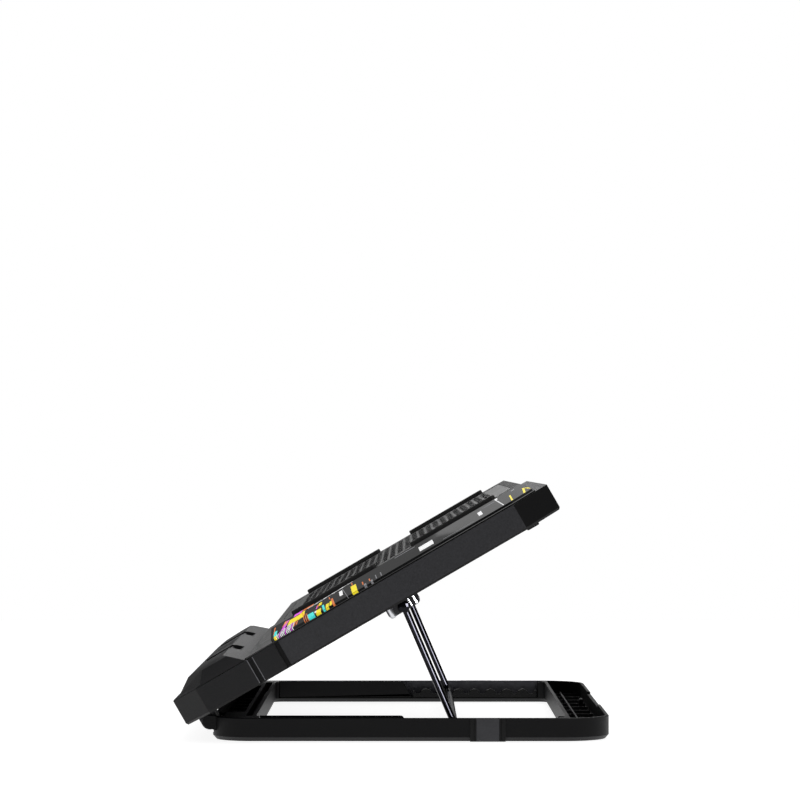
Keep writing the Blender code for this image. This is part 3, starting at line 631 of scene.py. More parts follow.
# the shroud's flare: radius, and height over the frame's underside
flareSteps = ((33.4, -1), (32.5, 1.2), (32.5, 11.6), (33.6, 14))
badgeSteps = ((9.4, 11.9), (9.4, 12.05), (9.0, 12.2))
strut = {"legX": 146, "rod": 2.1, "length": 78.8, "topBend": 4.6, "footBend": 6.0, "channel": (209, 220),
         "channelHalfWidth": 4, "channelTop": 15.5}
knuckle = {"radius": 5.2, "bore": 2.3}
panel = {"halfWidth": 52, "low": 8.4, "high": 18.4, "height": 13.4, "sockets": (-34, -14),
         "buttons": {"fan": 16, "light": 34}, "buttonRadius": 3.4, "gap": 0.3}
screwPlaces = [(sign * x, u) for sign in (-1, 1)
               for x, u in ((168, 12), (168, 128), (126, 214), (60, 222.5), (60, 30))]
screw = {"radius": 2.8, "rim": 1.9, "slotReach": 1.7, "halfSlot": 0.3, "slotDepth": 0.7}
# the lower housing's hollows: from side to side, and from front to rear
bays = (((-136, 136), (47, 206)), ((-157, 157), (deck["front"] + 3, 44)), ((-157, 157), (223, 236.5)),
        ((153, 179), (47, 221)), ((-179, -153), (47, 221)))
intake = {"rows": 3, "pitch": 8.4, "halfSlot": 2.2, "halfRib": 1.5, "margin": 2.5}


def intakeRings():
    # rows of slots that fill a circle under each fan, parted by a middle rib
    reach, radius, rib = fans["bore"] - intake["margin"], intake["halfSlot"], intake["halfRib"]
    slots = []
    for x in fans["columns"]:
        for u in fans["rows"]:
            for row in range(-intake["rows"], intake["rows"] + 1):
                offset = row * intake["pitch"]
                half = math.sqrt(reach ** 2 - offset ** 2)
                for low, high in ((-half, -rib), (rib, half)):
                    ends = arc((x + high - radius, u + offset), radius, -90, 90, 6)
                    ends += arc((x + low + radius, u + offset), radius, 90, 270, 6)
                    slots.append([[(px, py, z) for px, py in ends] for z in (3, 10)])
    return slots


def buildLowerHousing():
    outline = cutCornerOutline(deck["halfWidth"], deck["front"], deck["rear"], deck["frontCorner"],
                               deck["rearCorner"])
    low, floor, rear = deck["bottom"], deck["bottom"] + deck["floor"], deck["rear"]
    mesh = stepped(outline, [(1.0, low), (0, low + 1.3), (0, deck["wallTop"])])
    mesh = cut(mesh, boxes(*[(x, y, (floor, deck["above"])) for x, y in bays]),
               boxes(((-157, 157), (230, rear - 2.6), (floor, deck["rearRoof"]))))
    inner, outer = strut["legX"] - strut["channelHalfWidth"], strut["legX"] + strut["channelHalfWidth"]
    mesh = cut(mesh, bothSides(((inner, outer), (131, strut["channel"][1]), (3, strut["channelTop"]))),
               boxes(((-inner - 1, inner + 1), strut["channel"], (3, strut["channelTop"]))))
    depth = deck["halfWidth"] - deck["grooveDepth"]
    mesh = cut(mesh, bothSides(*[((depth, 184), span, (3, deck["above"])) for span in deck["grooves"]]),
               loft(*intakeRings()),
               boxes(((-panel["halfWidth"], panel["halfWidth"]), (243, 249), (panel["low"], panel["high"]))),
               loft(*[drumRings(3.4, 3, low + 1.4, place) for place in screwPlaces]))
    profile = [*arc((0, 0), knuckle["radius"], 180, 360, 24), (knuckle["radius"], low + 0.9),
               (-knuckle["radius"], low + 0.9)]
    ear = alongX(profile, lug["insideX"], lug["outsideX"])
    mesh = fuse(mesh, pair(ear))
    bore = rodRings(knuckle["bore"], lug["insideX"] - 1, lug["outsideX"] + 1, 0, 0)
    return cut(mesh, pair(bore))


grooveRibs = 14


def buildGrooveInlays():
    # dark ribbed strips set deep in the two upright grooves of each side
    face = deck["halfWidth"] - deck["grooveDepth"]
    for side, sign in sides.items():
        strips = [(sideSpan(sign, face - 0.2, face + 0.1), (low + 0.15, high - 0.15),
                   (deck["bottom"] + 0.5, deck["wallTop"] - 0.1)) for low, high in deck["grooves"]]
        step = (deck["wallTop"] - deck["bottom"] - 1) / grooveRibs
        heights = [deck["bottom"] + 0.7 + i * step for i in range(grooveRibs)]
        ribs = [(sideSpan(sign, face - 0.1, face + 0.4), (low + 0.5, high - 0.5), (z, z + 0.5))
                for low, high in deck["grooves"] for z in heights]
        addToDeck(f"grooveInlay.{side}", fuse(boxes(*strips), boxes(*ribs)), "darkAbs", "dark_moulding")


def buildGrooveLips():
    # thin rounded lips on both sides of each front groove, in a light grey that is a painted highlight along
    # the groove's edges
    face = deck["halfWidth"]
    low, high = deck["grooves"][0]
    for side, sign in sides.items():
        reach = sideSpan(sign, face - 0.3, face)
        strips = [(reach, span, (deck["bottom"] + 0.8, deck["wallTop"] - 0.3))
                  for span in ((low - 0.1, low + 0.42), (high - 0.42, high + 0.1))]
        addToDeck(f"grooveLips.{side}", boxes(*strips), "paintedHighlightAbs", "deck_shell")


def buildScrews():
    # pan-head screws with a cross recess, sunk in the underside
    low, reach, half = deck["bottom"], screw["slotReach"], screw["halfSlot"]
    steps = ((screw["rim"], low + 0.05), (screw["radius"], low + 0.3), (screw["radius"], low + 1.3))
    heads = [[drumRings(r, z, z, place, 28)[0] for r, z in steps] for place in screwPlaces]
    depth = (low - 1, low + screw["slotDepth"])
    slots = [((x - reach, x + reach), (u - half, u + half), depth) for x, u in screwPlaces]
    crossing = [((x - half, x + half), (u - reach, u + reach), depth) for x, u in screwPlaces]
    addToDeck("deckScrews", cut(loft(*heads), boxes(*slots), boxes(*crossing)), "drawnSteel", "pin_steel")


shell = {"halfWidth": 180.4, "front": 39.2, "rear": 239, "ledgeTop": 22.9, "bevelFoot": 24.3,
         "mainFront": 58, "grilleSeat": 29}
gripStrip = {"x": 161, "halfWidth": 4.6, "spans": {"front": (76, 134), "rear": (158, 216)},
             "corner": (2, 2), "grooves": 11, "grooveWidth": 1.8, "halfGroove": 3.4, "halfBed": 5.4}
openingOutline = cutCornerOutline(148, 72, 224, (14, 14), (14, 14))
bevelFoot = cutCornerOutline(shell["halfWidth"] - 1, shell["mainFront"], shell["rear"] - 1.5, (0.6, 0.6),
                             (12.2, 14.6))
bevelCrown = cutCornerOutline(shell["halfWidth"] - 8.6, shell["mainFront"] + 3.4, shell["rear"] - 6,
                              (0.6, 0.6), (8.7, 10.4))


def buildUpperHousing():
    low, top = deck["wallTop"] + 0.3, shell["ledgeTop"]
    ledge = cutCornerOutline(shell["halfWidth"], shell["front"], shell["rear"], (0.6, 0.6), (14, 16.7))
    mesh = stepped(ledge, [(0, low), (0, top - 0.3), (0.3, top)])
    heights = ((bevelFoot, low + 0.4), (bevelFoot, shell["bevelFoot"]), (bevelCrown, deck["top"]))
    mesh = fuse(mesh, loft([[(x, y, z) for x, y in outline] for outline, z in heights]))
    seat = shell["grilleSeat"]
    mesh = cut(mesh, stepped(openingOutline, [(0, 20), (0, seat), (-4, seat), (-4, 33)]))
    # shallow channels for the grip strips
    across = (gripStrip["x"] - gripStrip["halfBed"], gripStrip["x"] + gripStrip["halfBed"])
    beds = [(across, (start - 1, end + 1), (deck["top"] - 0.4, deck["top"] + 1))
            for start, end in gripStrip["spans"].values()]
    return cut(mesh, bothSides(*beds))


def addUpperHousing():
    # polished all over but for the low apron in front of the bevel, which is blasted
    piece = addToDeck("upperHousing", buildUpperHousing(), "polishedAbs", "gloss_shell", ["upper_housing"],
                      edge=0.35)
    apron = (shell["mainFront"], shell["bevelFoot"] - 0.5)
    refinish(piece, deckFrame, "blastedAbs",
             lambda centre, normal: centre.y < apron[0] and centre.z < apron[1])


bumper = (
    # height, front edge and its half width, side and its front end, rear edge
    (22.1, -12.0, 162.0, 182.0, 5.1, 38.6),
    (22.9, -7.0, 160.5, 181.6, 8.4, 38.0),
    (29.6, 2.6, 158.0, 179.4, 13.5, 30.5),
    (31.0, 10.5, 155.0, 176.0, 20.0, 28.4),
)
stopper = {"x": 80, "halfWidth": 18, "pin": (12.0, 28.4), "length": 16.5, "halfThickness": 1.7, "gap": 0.6,
           "pinRadius": 1.2, "pinReach": 2.8, "bore": 1.5, "chamfer": 0.8, "padHalfWidth": 15,
           "padRibs": (4.2, 6.6, 9.0, 11.4, 13.0)}


def buildBumper():
    rings = []
    for z, front, frontX, sideX, sideStart, rear in bumper:
        half = [(frontX, front, z), (sideX, sideStart, z), (sideX, rear, z)]
        rings.append(half + [(-x, y, z) for x, y, z in reversed(half)])
    reach = stopper["halfWidth"] + stopper["gap"]
    low, high = stopper["x"] - reach, stopper["x"] + reach
    pinY, pinZ = stopper["pin"]
    hole = rodRings(stopper["bore"], low - 3, high + 3, pinY, pinZ)
    grooves = [((-30 + i * 6, -27 + i * 6), (13, 26), (30.4, 33)) for i in range(10)]
    return cut(loft(rings), bothSides(((low, high), (pinY - 2.6, 38.9), (pinZ - 2.3, 36))),
               pair(hole), boxes(*grooves))


def buildStoppers():
    half, length, chamfer = stopper["halfThickness"], stopper["length"], stopper["chamfer"]
    width, pinEnd = stopper["halfWidth"], stopper["halfWidth"] + stopper["pinReach"]
    padX = stopper["padHalfWidth"]
    profile = [*arc((0, 0), half, 90, 270, 12), (length - chamfer, -half), (length, -half + chamfer),
               (length, half - chamfer), (length - chamfer, half)]
    for side in sides:
        joint = joints[f"stopper_{side}_flip"]
        place = framed(joint["pos_m"], deckTilt)
        mesh = fuse(loft(alongX(profile, -width, width)),
                    loft(rodRings(stopper["pinRadius"], -pinEnd, pinEnd, 0, 0)))
        mesh = cut(mesh, boxes(((-padX - 0.3, padX + 0.3), (3.2, length - 1.3), (half - 0.9, half + 1)),
                               ((-6, 6), (length - 0.6, length + 1), (-0.7, 0.7))))
        addPiece(f"stopper.{side}", mesh, place, joint["child"], "darkAbs", "dark_moulding",
                 [f"stopper_{side}"], edge=0.2)
        pad = boxes(((-padX, padX), (3.5, length - 1.6), (half - 0.6, half)))
        ribs = [((-padX + 0.4, padX - 0.4), (y, y + 1.0), (half - 0.3, half + 0.3))
                for y in stopper["padRibs"]]
        mesh = fuse(pad, boxes(*ribs))
        addPiece(f"stopperPad.{side}", mesh, place, joint["child"], "siliconeRubber", "rubber",
                 [f"stopper_pad_{side}"], edge=0.12)


grille = {"pitch": 6.2, "wall": 1.3, "border": 5.0, "thickness": 0.8, "start": (-160, 64), "size": (320, 170)}


def insideBy(outline, point):
    # how far inside a convex anticlockwise outline a point lies
    gaps = []
    for i, corner in enumerate(outline):
        edge = (Vector(corner) - Vector(outline[i - 1])).normalized()
        gaps.append(edge.cross(Vector(point) - Vector(outline[i - 1])))
    return min(gaps)


def buildGrille():
    # a honeycomb of holes, left solid near the edge, trimmed to the opening and given its thickness
    outline = insetOutline(openingOutline, -3.7)
    pitch = grille["pitch"]
    rowStep = pitch * math.sqrt(3) / 2
    bm = bmesh.new()
    corners = {}

    def corner(x, y):
        key = (round(x, 3), round(y, 3))
        if key not in corners:
            corners[key] = bm.verts.new(Vector((x, y, 0)) * mm)
        return corners[key]

    (startX, startY), (width, depth) = grille["start"], grille["size"]
    for row in range(int(depth / rowStep) + 2):
        for column in range(int(width / pitch) + 2):
            x = startX + column * pitch + (row % 2) * pitch / 2
            y = startY + row * rowStep
            gap = insideBy(outline, (x, y))
            if gap < -pitch:
                continue
            radius = pitch / math.sqrt(3)
            turns = [math.radians(30 + 60 * i) for i in range(6)]
            outer = [corner(x + radius * math.cos(t), y + radius * math.sin(t)) for t in turns]
            if gap < grille["border"] + pitch / 2:
                bm.faces.new(outer)
                continue
            hole = radius - grille["wall"] / math.sqrt(3)
            inner = [bm.verts.new(Vector((x + hole * math.cos(t), y + hole * math.sin(t), 0)) * mm)
                     for t in turns]
            for i in range(6):
                j = (i + 1) % 6
                bm.faces.new((outer[i], outer[j], inner[j], inner[i]))
    for i, point in enumerate(outline):
        edge = Vector(point) - Vector(outline[i - 1])
        outward = Vector((edge.y, -edge.x, 0)).normalized()
        parts = bm.verts[:] + bm.edges[:] + bm.faces[:]
        bmesh.ops.bisect_plane(bm, geom=parts, plane_co=Vector((*point, 0)) * mm, plane_no=outward,
                               clear_outer=True)
    bmesh.ops.recalc_face_normals(bm, faces=bm.faces)
    top = deck["top"] - 0.1
    bmesh.ops.translate(bm, verts=bm.verts, vec=(0, 0, (top - grille["thickness"]) * mm))
    kept = bm.faces[:]
    lifted = bmesh.ops.extrude_face_region(bm, geom=kept, use_keep_orig=True)
    verts = [item for item in lifted["geom"] if isinstance(item, bmesh.types.BMVert)]
    bmesh.ops.translate(bm, verts=verts, vec=(0, 0, grille["thickness"] * mm))
    return finishedMesh(bm)


def buildGripStrips():
    corner, count, top = gripStrip["corner"], gripStrip["grooves"], deck["top"]
    for side, sign in sides.items():
        middle = sign * gripStrip["x"]
        across = (middle - gripStrip["halfGroove"], middle + gripStrip["halfGroove"])
        for end, (low, high) in gripStrip["spans"].items():
            strip = cutCornerOutline(gripStrip["halfWidth"], low, high, corner, corner)
            mesh = stepped([(x + middle, y) for x, y in strip],
                           [(0, top - 0.3), (0, top + 1.9), (0.2, top + 2.3), (0.6, top + 2.5)])
            starts = [low + 4.6 + i * (high - low - 8) / count for i in range(count)]
            grooves = [(across, (start, start + gripStrip["grooveWidth"]), (top + 2.0, top + 4))
                       for start in starts]
            addToDeck(f"gripStrip.{end}.{side}", cut(mesh, boxes(*grooves)), "siliconeRubber", "rubber",
                      [f"grip_strip_{end}_{side}"], edge=0.15)


# each pair holds the value at the hub and its change towards the tip, in degrees or mm
blade = {"root": 12.5, "tip": 31.0, "height": 7.3, "sweep": (6, 22), "pitch": (46, -20), "chord": (11.5, 5.5),
         "camber": 1.5, "halfThickness": 0.55, "steps": 6}


def bladeRings(angle):
    # one thin curved blade, from the hub out to the tip, pitched less towards the tip
    rings = []
    steps = blade["steps"]
    for i in range(steps + 1):
        share = i / steps
        radius = blade["root"] + share * (blade["tip"] - blade["root"])
        sweep = angle + math.radians(blade["sweep"][0] + blade["sweep"][1] * share ** 1.4)
        pitch = math.radians(blade["pitch"][0] + blade["pitch"][1] * share)
        chord = blade["chord"][0] + blade["chord"][1] * share
        around, up = Vector((-math.sin(sweep), math.cos(sweep), 0)), Vector((0, 0, 1))
        middle = Vector((radius * math.cos(sweep), radius * math.sin(sweep), blade["height"]))
        forward = around * math.cos(pitch) + up * math.sin(pitch)
        normal = up * math.cos(pitch) - around * math.sin(pitch)
        section = []
        for side in (1, -1):
            for k in range(steps + 1):
                along = k / steps if side > 0 else 1 - k / steps
                camber = blade["camber"] * math.sin(math.pi * along)
                thick = blade["halfThickness"] * math.sin(math.pi * (0.08 + 0.84 * along))
                lift = normal * (camber + side * thick)
                section.append(tuple(middle + forward * chord * (along - 0.5) + lift))
        rings.append(section)
    return rings


def buildFans():
    low = deck["bottom"] + deck["floor"] + 0.3
    half = fans["size"] / 2
    body = stepped(roundedOutline(half, -half, half, 5, 5, 6), [(0, low), (0, low + fans["height"])])
    flare = [drumRings(r, low + z, low + z, count=72)[0] for r, z in flareSteps]
    ends = (-fans["screwX"], fans["screwX"])
    bores = [drumRings(fans["screwBore"], low - 1, low + 20, (x, y), 20) for x in ends for y in ends]
    body = cut(body, loft(flare), loft(*bores))
    spokes = []
    for i in range(fans["spokes"]):
        turn = Matrix.Rotation(math.tau * i / fans["spokes"] + fans["spokeTurn"], 3, "Z")
        spokes.append([[tuple(turn @ Vector(p)) for p in ring]
                       for ring in boxRings(((11, 33.2), (-1.5, 1.5), (low, low + 1.6)))])
    body = fuse(body, loft(*spokes), loft(drumRings(13.5, low, low + 2, count=48)))
    hub = drumRings(14, 2.6, fans["blowerTop"], count=56, rim=1.4)
    badge = [drumRings(r, z, z, count=48)[0] for r, z in badgeSteps]
    wheel = loft(hub, badge, *[bladeRings(math.tau * i / fans["blades"]) for i in range(fans["blades"])])
    places = [(x, u) for u in fans["rows"] for x in fans["columns"]]
    for number, (x, u) in enumerate(places, 1):
        place = deckFrame @ Matrix.Translation(Vector((x, u, 0)) * mm)
        addPiece(f"fanFrame.{number}", body.copy(), place, "deck", "filledPbt", "fan_plastic",
                 [f"fan_frame_{number}"], edge=0.3)
        joint = joints[f"fan_{number}_spin"]
        hubPlace = place @ Matrix.Translation((0, 0, low * mm))
        addPiece(f"impeller.{number}", wheel.copy(), hubPlace, joint["child"], "filledPbt", "fan_plastic",
                 [f"impeller_{number}"], smoothAngle=40)


def buildControls():
    height = panel["height"]
    edge = panel["halfWidth"] - panel["gap"]
    low, high = panel["low"] + panel["gap"], panel["high"] - panel["gap"]
    face = [(-edge, low), (edge, low), (edge, high), (-edge, high)]
    rings = [[(x, y, z) for x, z in insetOutline(face, amount)]
             for amount, y in ((0, 244.5), (0, 246.3), (0.3, 246.6))]
    windows = [((x - 7, x + 7), (243, 248), (height - 3.4, height + 3.4)) for x in panel["sockets"]]
    holes = [pinRings(panel["buttonRadius"] + 0.3, 243, 248, x, height) for x in panel["buttons"].values()]
    addToDeck("controlPanel", cut(loft(rings), boxes(*windows), loft(*holes)), "polishedAbs", "gloss_shell",
              ["control_panel"], edge=0.15)
    for number, x in enumerate(panel["sockets"], 1):
        mesh = cut(boxes(((x - 6.6, x + 6.6), (232, 246.4), (height - 3, height + 3))),
                   boxes(((x - 6, x + 6), (233.5, 248), (height - 2.4, height + 2.4))),
                   boxes(*[((x + a - 0.9, x + a + 0.9), (240, 243), (height - 4, height + 4))
                           for a in (-3.3, 3.3)]))
        addToDeck(f"usbShell.{number}", mesh, "rolledNickel", "socket_nickel", [f"usb_socket_{number}"],
                  edge=0.12)
        addToDeck(f"usbTongue.{number}",
                  boxes(((x - 5.2, x + 5.2), (233, 243.5), (height + 0.2, height + 1.6))), "darkAbs",
                  "dark_moulding", edge=0.15)
        contacts = [((x + a - 0.5, x + a + 0.5), (234, 243), (height, height + 0.3))
                    for a in (-3.5, -1, 1, 3.5)]
        addToDeck(f"usbContacts.{number}", boxes(*contacts), "rolledNickel", "socket_nickel", edge=0.05)
    for name, x in panel["buttons"].items():
        steps = ((0, 240.4), (0, 247.0), (0.2, 247.4), (0.6, 247.6), (1.2, 247.4))
        mesh = loft([pinRings(panel["buttonRadius"] - inset, y, y, x, height)[0] for inset, y in steps])
        addPiece(f"button.{name}", mesh, deckFrame, f"{name}_key", "smoothElastomer", "button",
                 [f"{name}_button"], smoothAngle=50)


board = {"halfWidth": 58, "front": 225, "rear": 238.5, "low": 8.3, "top": 9.9, "holes": (-54, 54),
         "cans": (38, 45)}


def buildBoard():
    low, top = board["low"], board["top"]
    sheet = boxes(((-board["halfWidth"], board["halfWidth"]), (board["front"], board["rear"]), (low, top)))
    holes = loft(*[drumRings(1.6, 8, 11, (x, 227.5), 20) for x in board["holes"]])
    addToDeck("circuitBoard", cut(sheet, holes), "maskedFibreglass", "board", ["circuit_board"], edge=0.1)
    chips = boxes(((20, 27), (228, 235), (top, 11.4)), ((-6, 8), (227, 231), (top, 11.0)))
    cans = loft(*[drumRings(2.4, top, 15.4, (x, 230.5), 24, 0.5) for x in board["cans"]])
    addToDeck("boardChips", chips, "darkAbs", "dark_moulding", edge=0.15)
    addToDeck("boardCapacitors", cans, "rolledNickel", "socket_nickel")


deckPad = {"x": 163.5, "halfWidth": 4.5, "front": 223, "rear": 231, "corner": (1.5, 1.5)}


def buildDeckPads():
    corner = deckPad["corner"]
    shape = cutCornerOutline(deckPad["halfWidth"], deckPad["front"], deckPad["rear"], corner, corner)
    for side, sign in sides.items():
        outline = [(x + sign * deckPad["x"], y) for x, y in shape]
        mesh = stepped(outline, [(0.5, 3.6), (0.1, 3.8), (0, 4.2), (0, 4.7)])
        addToDeck(f"deckPad.{side}", mesh, "siliconeRubber", "rubber", [f"deck_pad_{side}"], edge=0.1)


def addLowerHousing():
    # sandy along the sides, closer-grained ahead of the rear grooves, blasted across the corners and dull
    # along the slope at the foot; the darker colour in these last three places is painted shade
    piece = addToDeck("lowerHousing", buildLowerHousing(), "sparkErodedAbs", "deck_shell",
                      ["lower_housing"], edge=0.3)
    # painted shade: the front of each side, ahead of the rear grooves, is coloured darker
    refinish(piece, deckFrame, "fineErodedAbs",
             lambda centre, normal: abs(centre.x) > 157 and centre.y < deck["grooves"][1][0])
    # painted shade: the cut corners at the front and rear are coloured darker
    refinish(piece, deckFrame, "blastedAbs",
             lambda centre, normal: abs(centre.x) > 160 and 0.3 < abs(normal.y) < 0.95
             and abs(normal.z) < 0.3 and not 10 < centre.y < 220)
    # painted shade: the slope along the foot is coloured near black
    refinish(piece, deckFrame, "darkAbs",
             lambda centre, normal: centre.z < deck["bottom"] + 1.4 and -0.9 < normal.z < -0.3)


addLowerHousing()
buildScrews()
buildGrooveInlays()
buildGrooveLips()
addUpperHousing()
addToDeck("frontBumper", buildBumper(), "fineErodedAbs", "deck_shell", ["front_bumper"], edge=0.4)
buildStoppers()
addToDeck("meshGrille", buildGrille(), "powderCoatedSteel", "grille_steel", ["mesh_grille"])
buildGripStrips()
buildFans()
buildControls()
buildBoard()
buildDeckPads()
print("deck built")


# Printed graphics on the glossy bevels: plain bars, ticks and wedges in six inks, with one white bar that is
# a painted highlight on the corner crease

def bevelFace(index, low, high):
    # a face between two outlines, each with its height: foot start, foot end, crown end, crown start
    (foot, footZ), (crown, crownZ) = low, high
    return (Vector((*foot[index], footZ)), Vector((*foot[index + 1], footZ)),
            Vector((*crown[index + 1], crownZ)), Vector((*crown[index], crownZ)))


ledgeRing, footRing = (bevelFoot, shell["ledgeTop"]), (bevelFoot, shell["bevelFoot"])
crownRing = (bevelCrown, deck["top"])
bevels = {"side": bevelFace(1, footRing, crownRing), "riser": bevelFace(1, ledgeRing, footRing),
          "corner": bevelFace(2, footRing, crownRing), "rear": bevelFace(3, footRing, crownRing)}


def patch(surface, points, thickness=0.05):
    # points are (share along, share up); the patch is a thin solid that sits on the bevel
    a, b, c, d = bevels[surface]
    normal = (b - a).cross(d - a).normalized()
    flat = [a.lerp(b, s).lerp(d.lerp(c, s), t) for s, t in points]
    return [[tuple(point + normal * lift) for point in flat] for lift in (-0.15, thickness)]


def bars(along, up, lean=0.0):
    # a bar on the side bevel: ranges in mm behind the bevel's front end and in shares of its height.
    # One that starts at the bevel's foot also runs down the small riser below it.
    length = (bevels["side"][1] - bevels["side"][0]).length
    (low, high), (bottom, top) = along, up
    corners = ((low, bottom), (high, bottom), (high, top), (low, top))
    made = [patch("side", [((end + lean * height) / length, height) for end, height in corners])]
    if bottom < 0.03:
        made.append(patch("riser", [(low / length, 0.04), (high / length, 0.04), (high / length, 0.97),
                                    (low / length, 0.97)]))
    return made


# ink, range along in mm, range up in shares of the bevel's height, lean in mm over that height
sideMarks = (
    ("orange", (0.4, 1.2), (0.3, 0.86), 1.5), ("cyan", (1.0, 3.2), (0.16, 0.52), 1.0),
    ("yellow", (1.4, 3.0), (0.0, 0.14), 0), ("magenta", (3.9, 6.2), (0.3, 0.84), 7.0),
    ("orange", (3.0, 3.7), (0.56, 0.9), 7.0), ("yellow", (6.6, 8.8), (0.6, 0.82), 3.0),
    ("yellow", (8.4, 15.6), (0.42, 0.78), 5.0), ("yellow", (16.2, 17.6), (0.4, 0.82), 4.0),
    ("yellow", (18.0, 20.6), (0.42, 0.86), 3.0), ("orange", (14.2, 15.2), (0.08, 0.4), 4.0),
    ("orange", (16.0, 17.0), (0.1, 0.38), 3.0), ("magenta", (9.0, 14.4), (0.84, 1.0), 7.0),
    ("orange", (14.8, 22.4), (0.9, 1.0), 7.0), ("cyan", (25.2, 29.4), (0.0, 0.36), -2.4),
    ("white", (29.2, 30.4), (0.16, 0.3), 1.0), ("magenta", (28.6, 29.4), (0.44, 0.62), 4.0),
    ("orange", (30.2, 31.2), (0.5, 0.7), 2.0), ("yellow", (31.4, 33.4), (0.56, 0.76), 2.0),
    ("yellow", (30.4, 33.6), (0.0, 0.3), 1.0), ("cyan", (35.2, 36.6), (0.02, 0.44), -1.5),
    ("yellow", (37.0, 39.0), (0.02, 0.34), 1.0), ("yellow", (39.6, 41.2), (0.04, 0.4), 1.0),
    ("orange", (41.8, 43.2), (0.0, 0.56), -1.8), ("orange", (40.4, 41.0), (0.6, 0.8), -1.0),
    ("white", (47.2, 49.4), (0.34, 0.76), -0.6), ("grey", (51.6, 52.0), (0.0, 0.84), -3.0),
    ("yellow", (55.2, 58.8), (0.02, 0.62), -0.8), ("orange", (56.2, 56.8), (0.64, 0.92), -0.8),
    ("orange", (62.8, 63.5), (0.2, 0.46), -1.0), ("orange", (67.4, 68.1), (0.18, 0.4), -1.0),
    ("grey", (63.4, 65.0), (0.02, 0.2), 0), ("grey", (68.0, 69.4), (0.02, 0.2), 0),
    ("grey", (71.8, 72.4), (0.06, 0.42), -1.0), ("grey", (75.2, 75.8), (0.06, 0.4), -1.0),
    ("white", (102.4, 112.0), (0.22, 0.62), -0.6), ("grey", (86.0, 100.0), (0.86, 0.9), 0),
    ("grey", (118.0, 139.0), (0.1, 0.13), 0), ("white", (143.6, 146.2), (0.3, 0.66), -0.6),
    ("grey", (147.4, 155.6), (0.74, 0.79), 0), ("white", (156.6, 158.2), (0.82, 0.96), 0),
    # a painted highlight, not print: this thin white bar stands for the light along the crease where the side
    # bevel meets its corner
    ("white", (159.2, 159.8), (0.04, 0.94), -3.2),
)


printSeed = 7


def sidePrint():
    marks = {name: [] for name in inkColours}
    for name, along, up, lean in sideMarks:
        marks[name] += bars(along, up, lean)
    draw = random.Random(printSeed)
    for i in range(12):                      # a close fan of streaks at the front end
        start = 2.6 + i * 1.02
        name = "magenta" if i % 4 == 2 else "white"
        marks[name] += bars((start, start + 0.56), (0.0, 0.16 + 0.034 * i + 0.08 * draw.random()), 3.0)
    for i in range(3):
        marks["orange"] += bars((22.2 + i * 1.2, 22.7 + i * 1.2), (0.0, 0.8 - 0.14 * i), -1.6)
    for i in range(5):                       # thin strokes along the bevel's upper edge
        marks["white"] += bars((24 + i * 5.6, 31 + i * 6.2), (0.88 + 0.02 * i, 0.9 + 0.02 * i), 1.0)
    return marks


def cornerAndRearPrint(marks):
    marks["yellow"] += [patch("corner", [(0.03, 0.02), (0.1, 0.02), (0.14, 0.55), (0.06, 0.55)]),
                        patch("corner", [(0.62, 0.03), (0.72, 0.03), (0.86, 0.42), (0.8, 0.52)]),
                        patch("corner", [(0.8, 0.52), (0.86, 0.42), (0.99, 0.04), (0.99, 0.3)])]
    marks["grey"] += [patch("corner", [(0.3, 0.8), (0.5, 0.8), (0.5, 0.88), (0.3, 0.88)])]
    for i in range(9):
        start = 0.06 + 0.035 * i
        name = ("white", "yellow", "grey")[i % 3]
        marks[name].append(patch("rear", [(start, 0.2), (start + 0.012, 0.2), (start + 0.02, 0.7),
                                          (start + 0.008, 0.7)]))
    return marks


def buildPrint():
    marks = cornerAndRearPrint(sidePrint())
    for name, rings in marks.items():
        for side, sign in sides.items():
            stacks = [onSide(sign, stack) for stack in rings]
            addToDeck(f"print.{name}.{side}", loft(*stacks), name + "Ink", "gloss_shell")


buildPrint()
print("graphics printed")


# Strut and its brackets

wirePieces = []
bracket = {"low": -2.7, "front": 10.9, "rear": 10.7, "inside": 8, "outside": 9, "corner": 2.6,
           "slotInside": 4.4, "slotOutside": 5.3, "slotFront": 5.6, "ribs": ((4.0, 0.8), (7.2, 1.3)),
           "studBehind": 2.4}


def addLitPiece(*description, **options):
    # a shiny piece that the wire's own softbox lights
    wirePieces.append(addPiece(*description, **options))


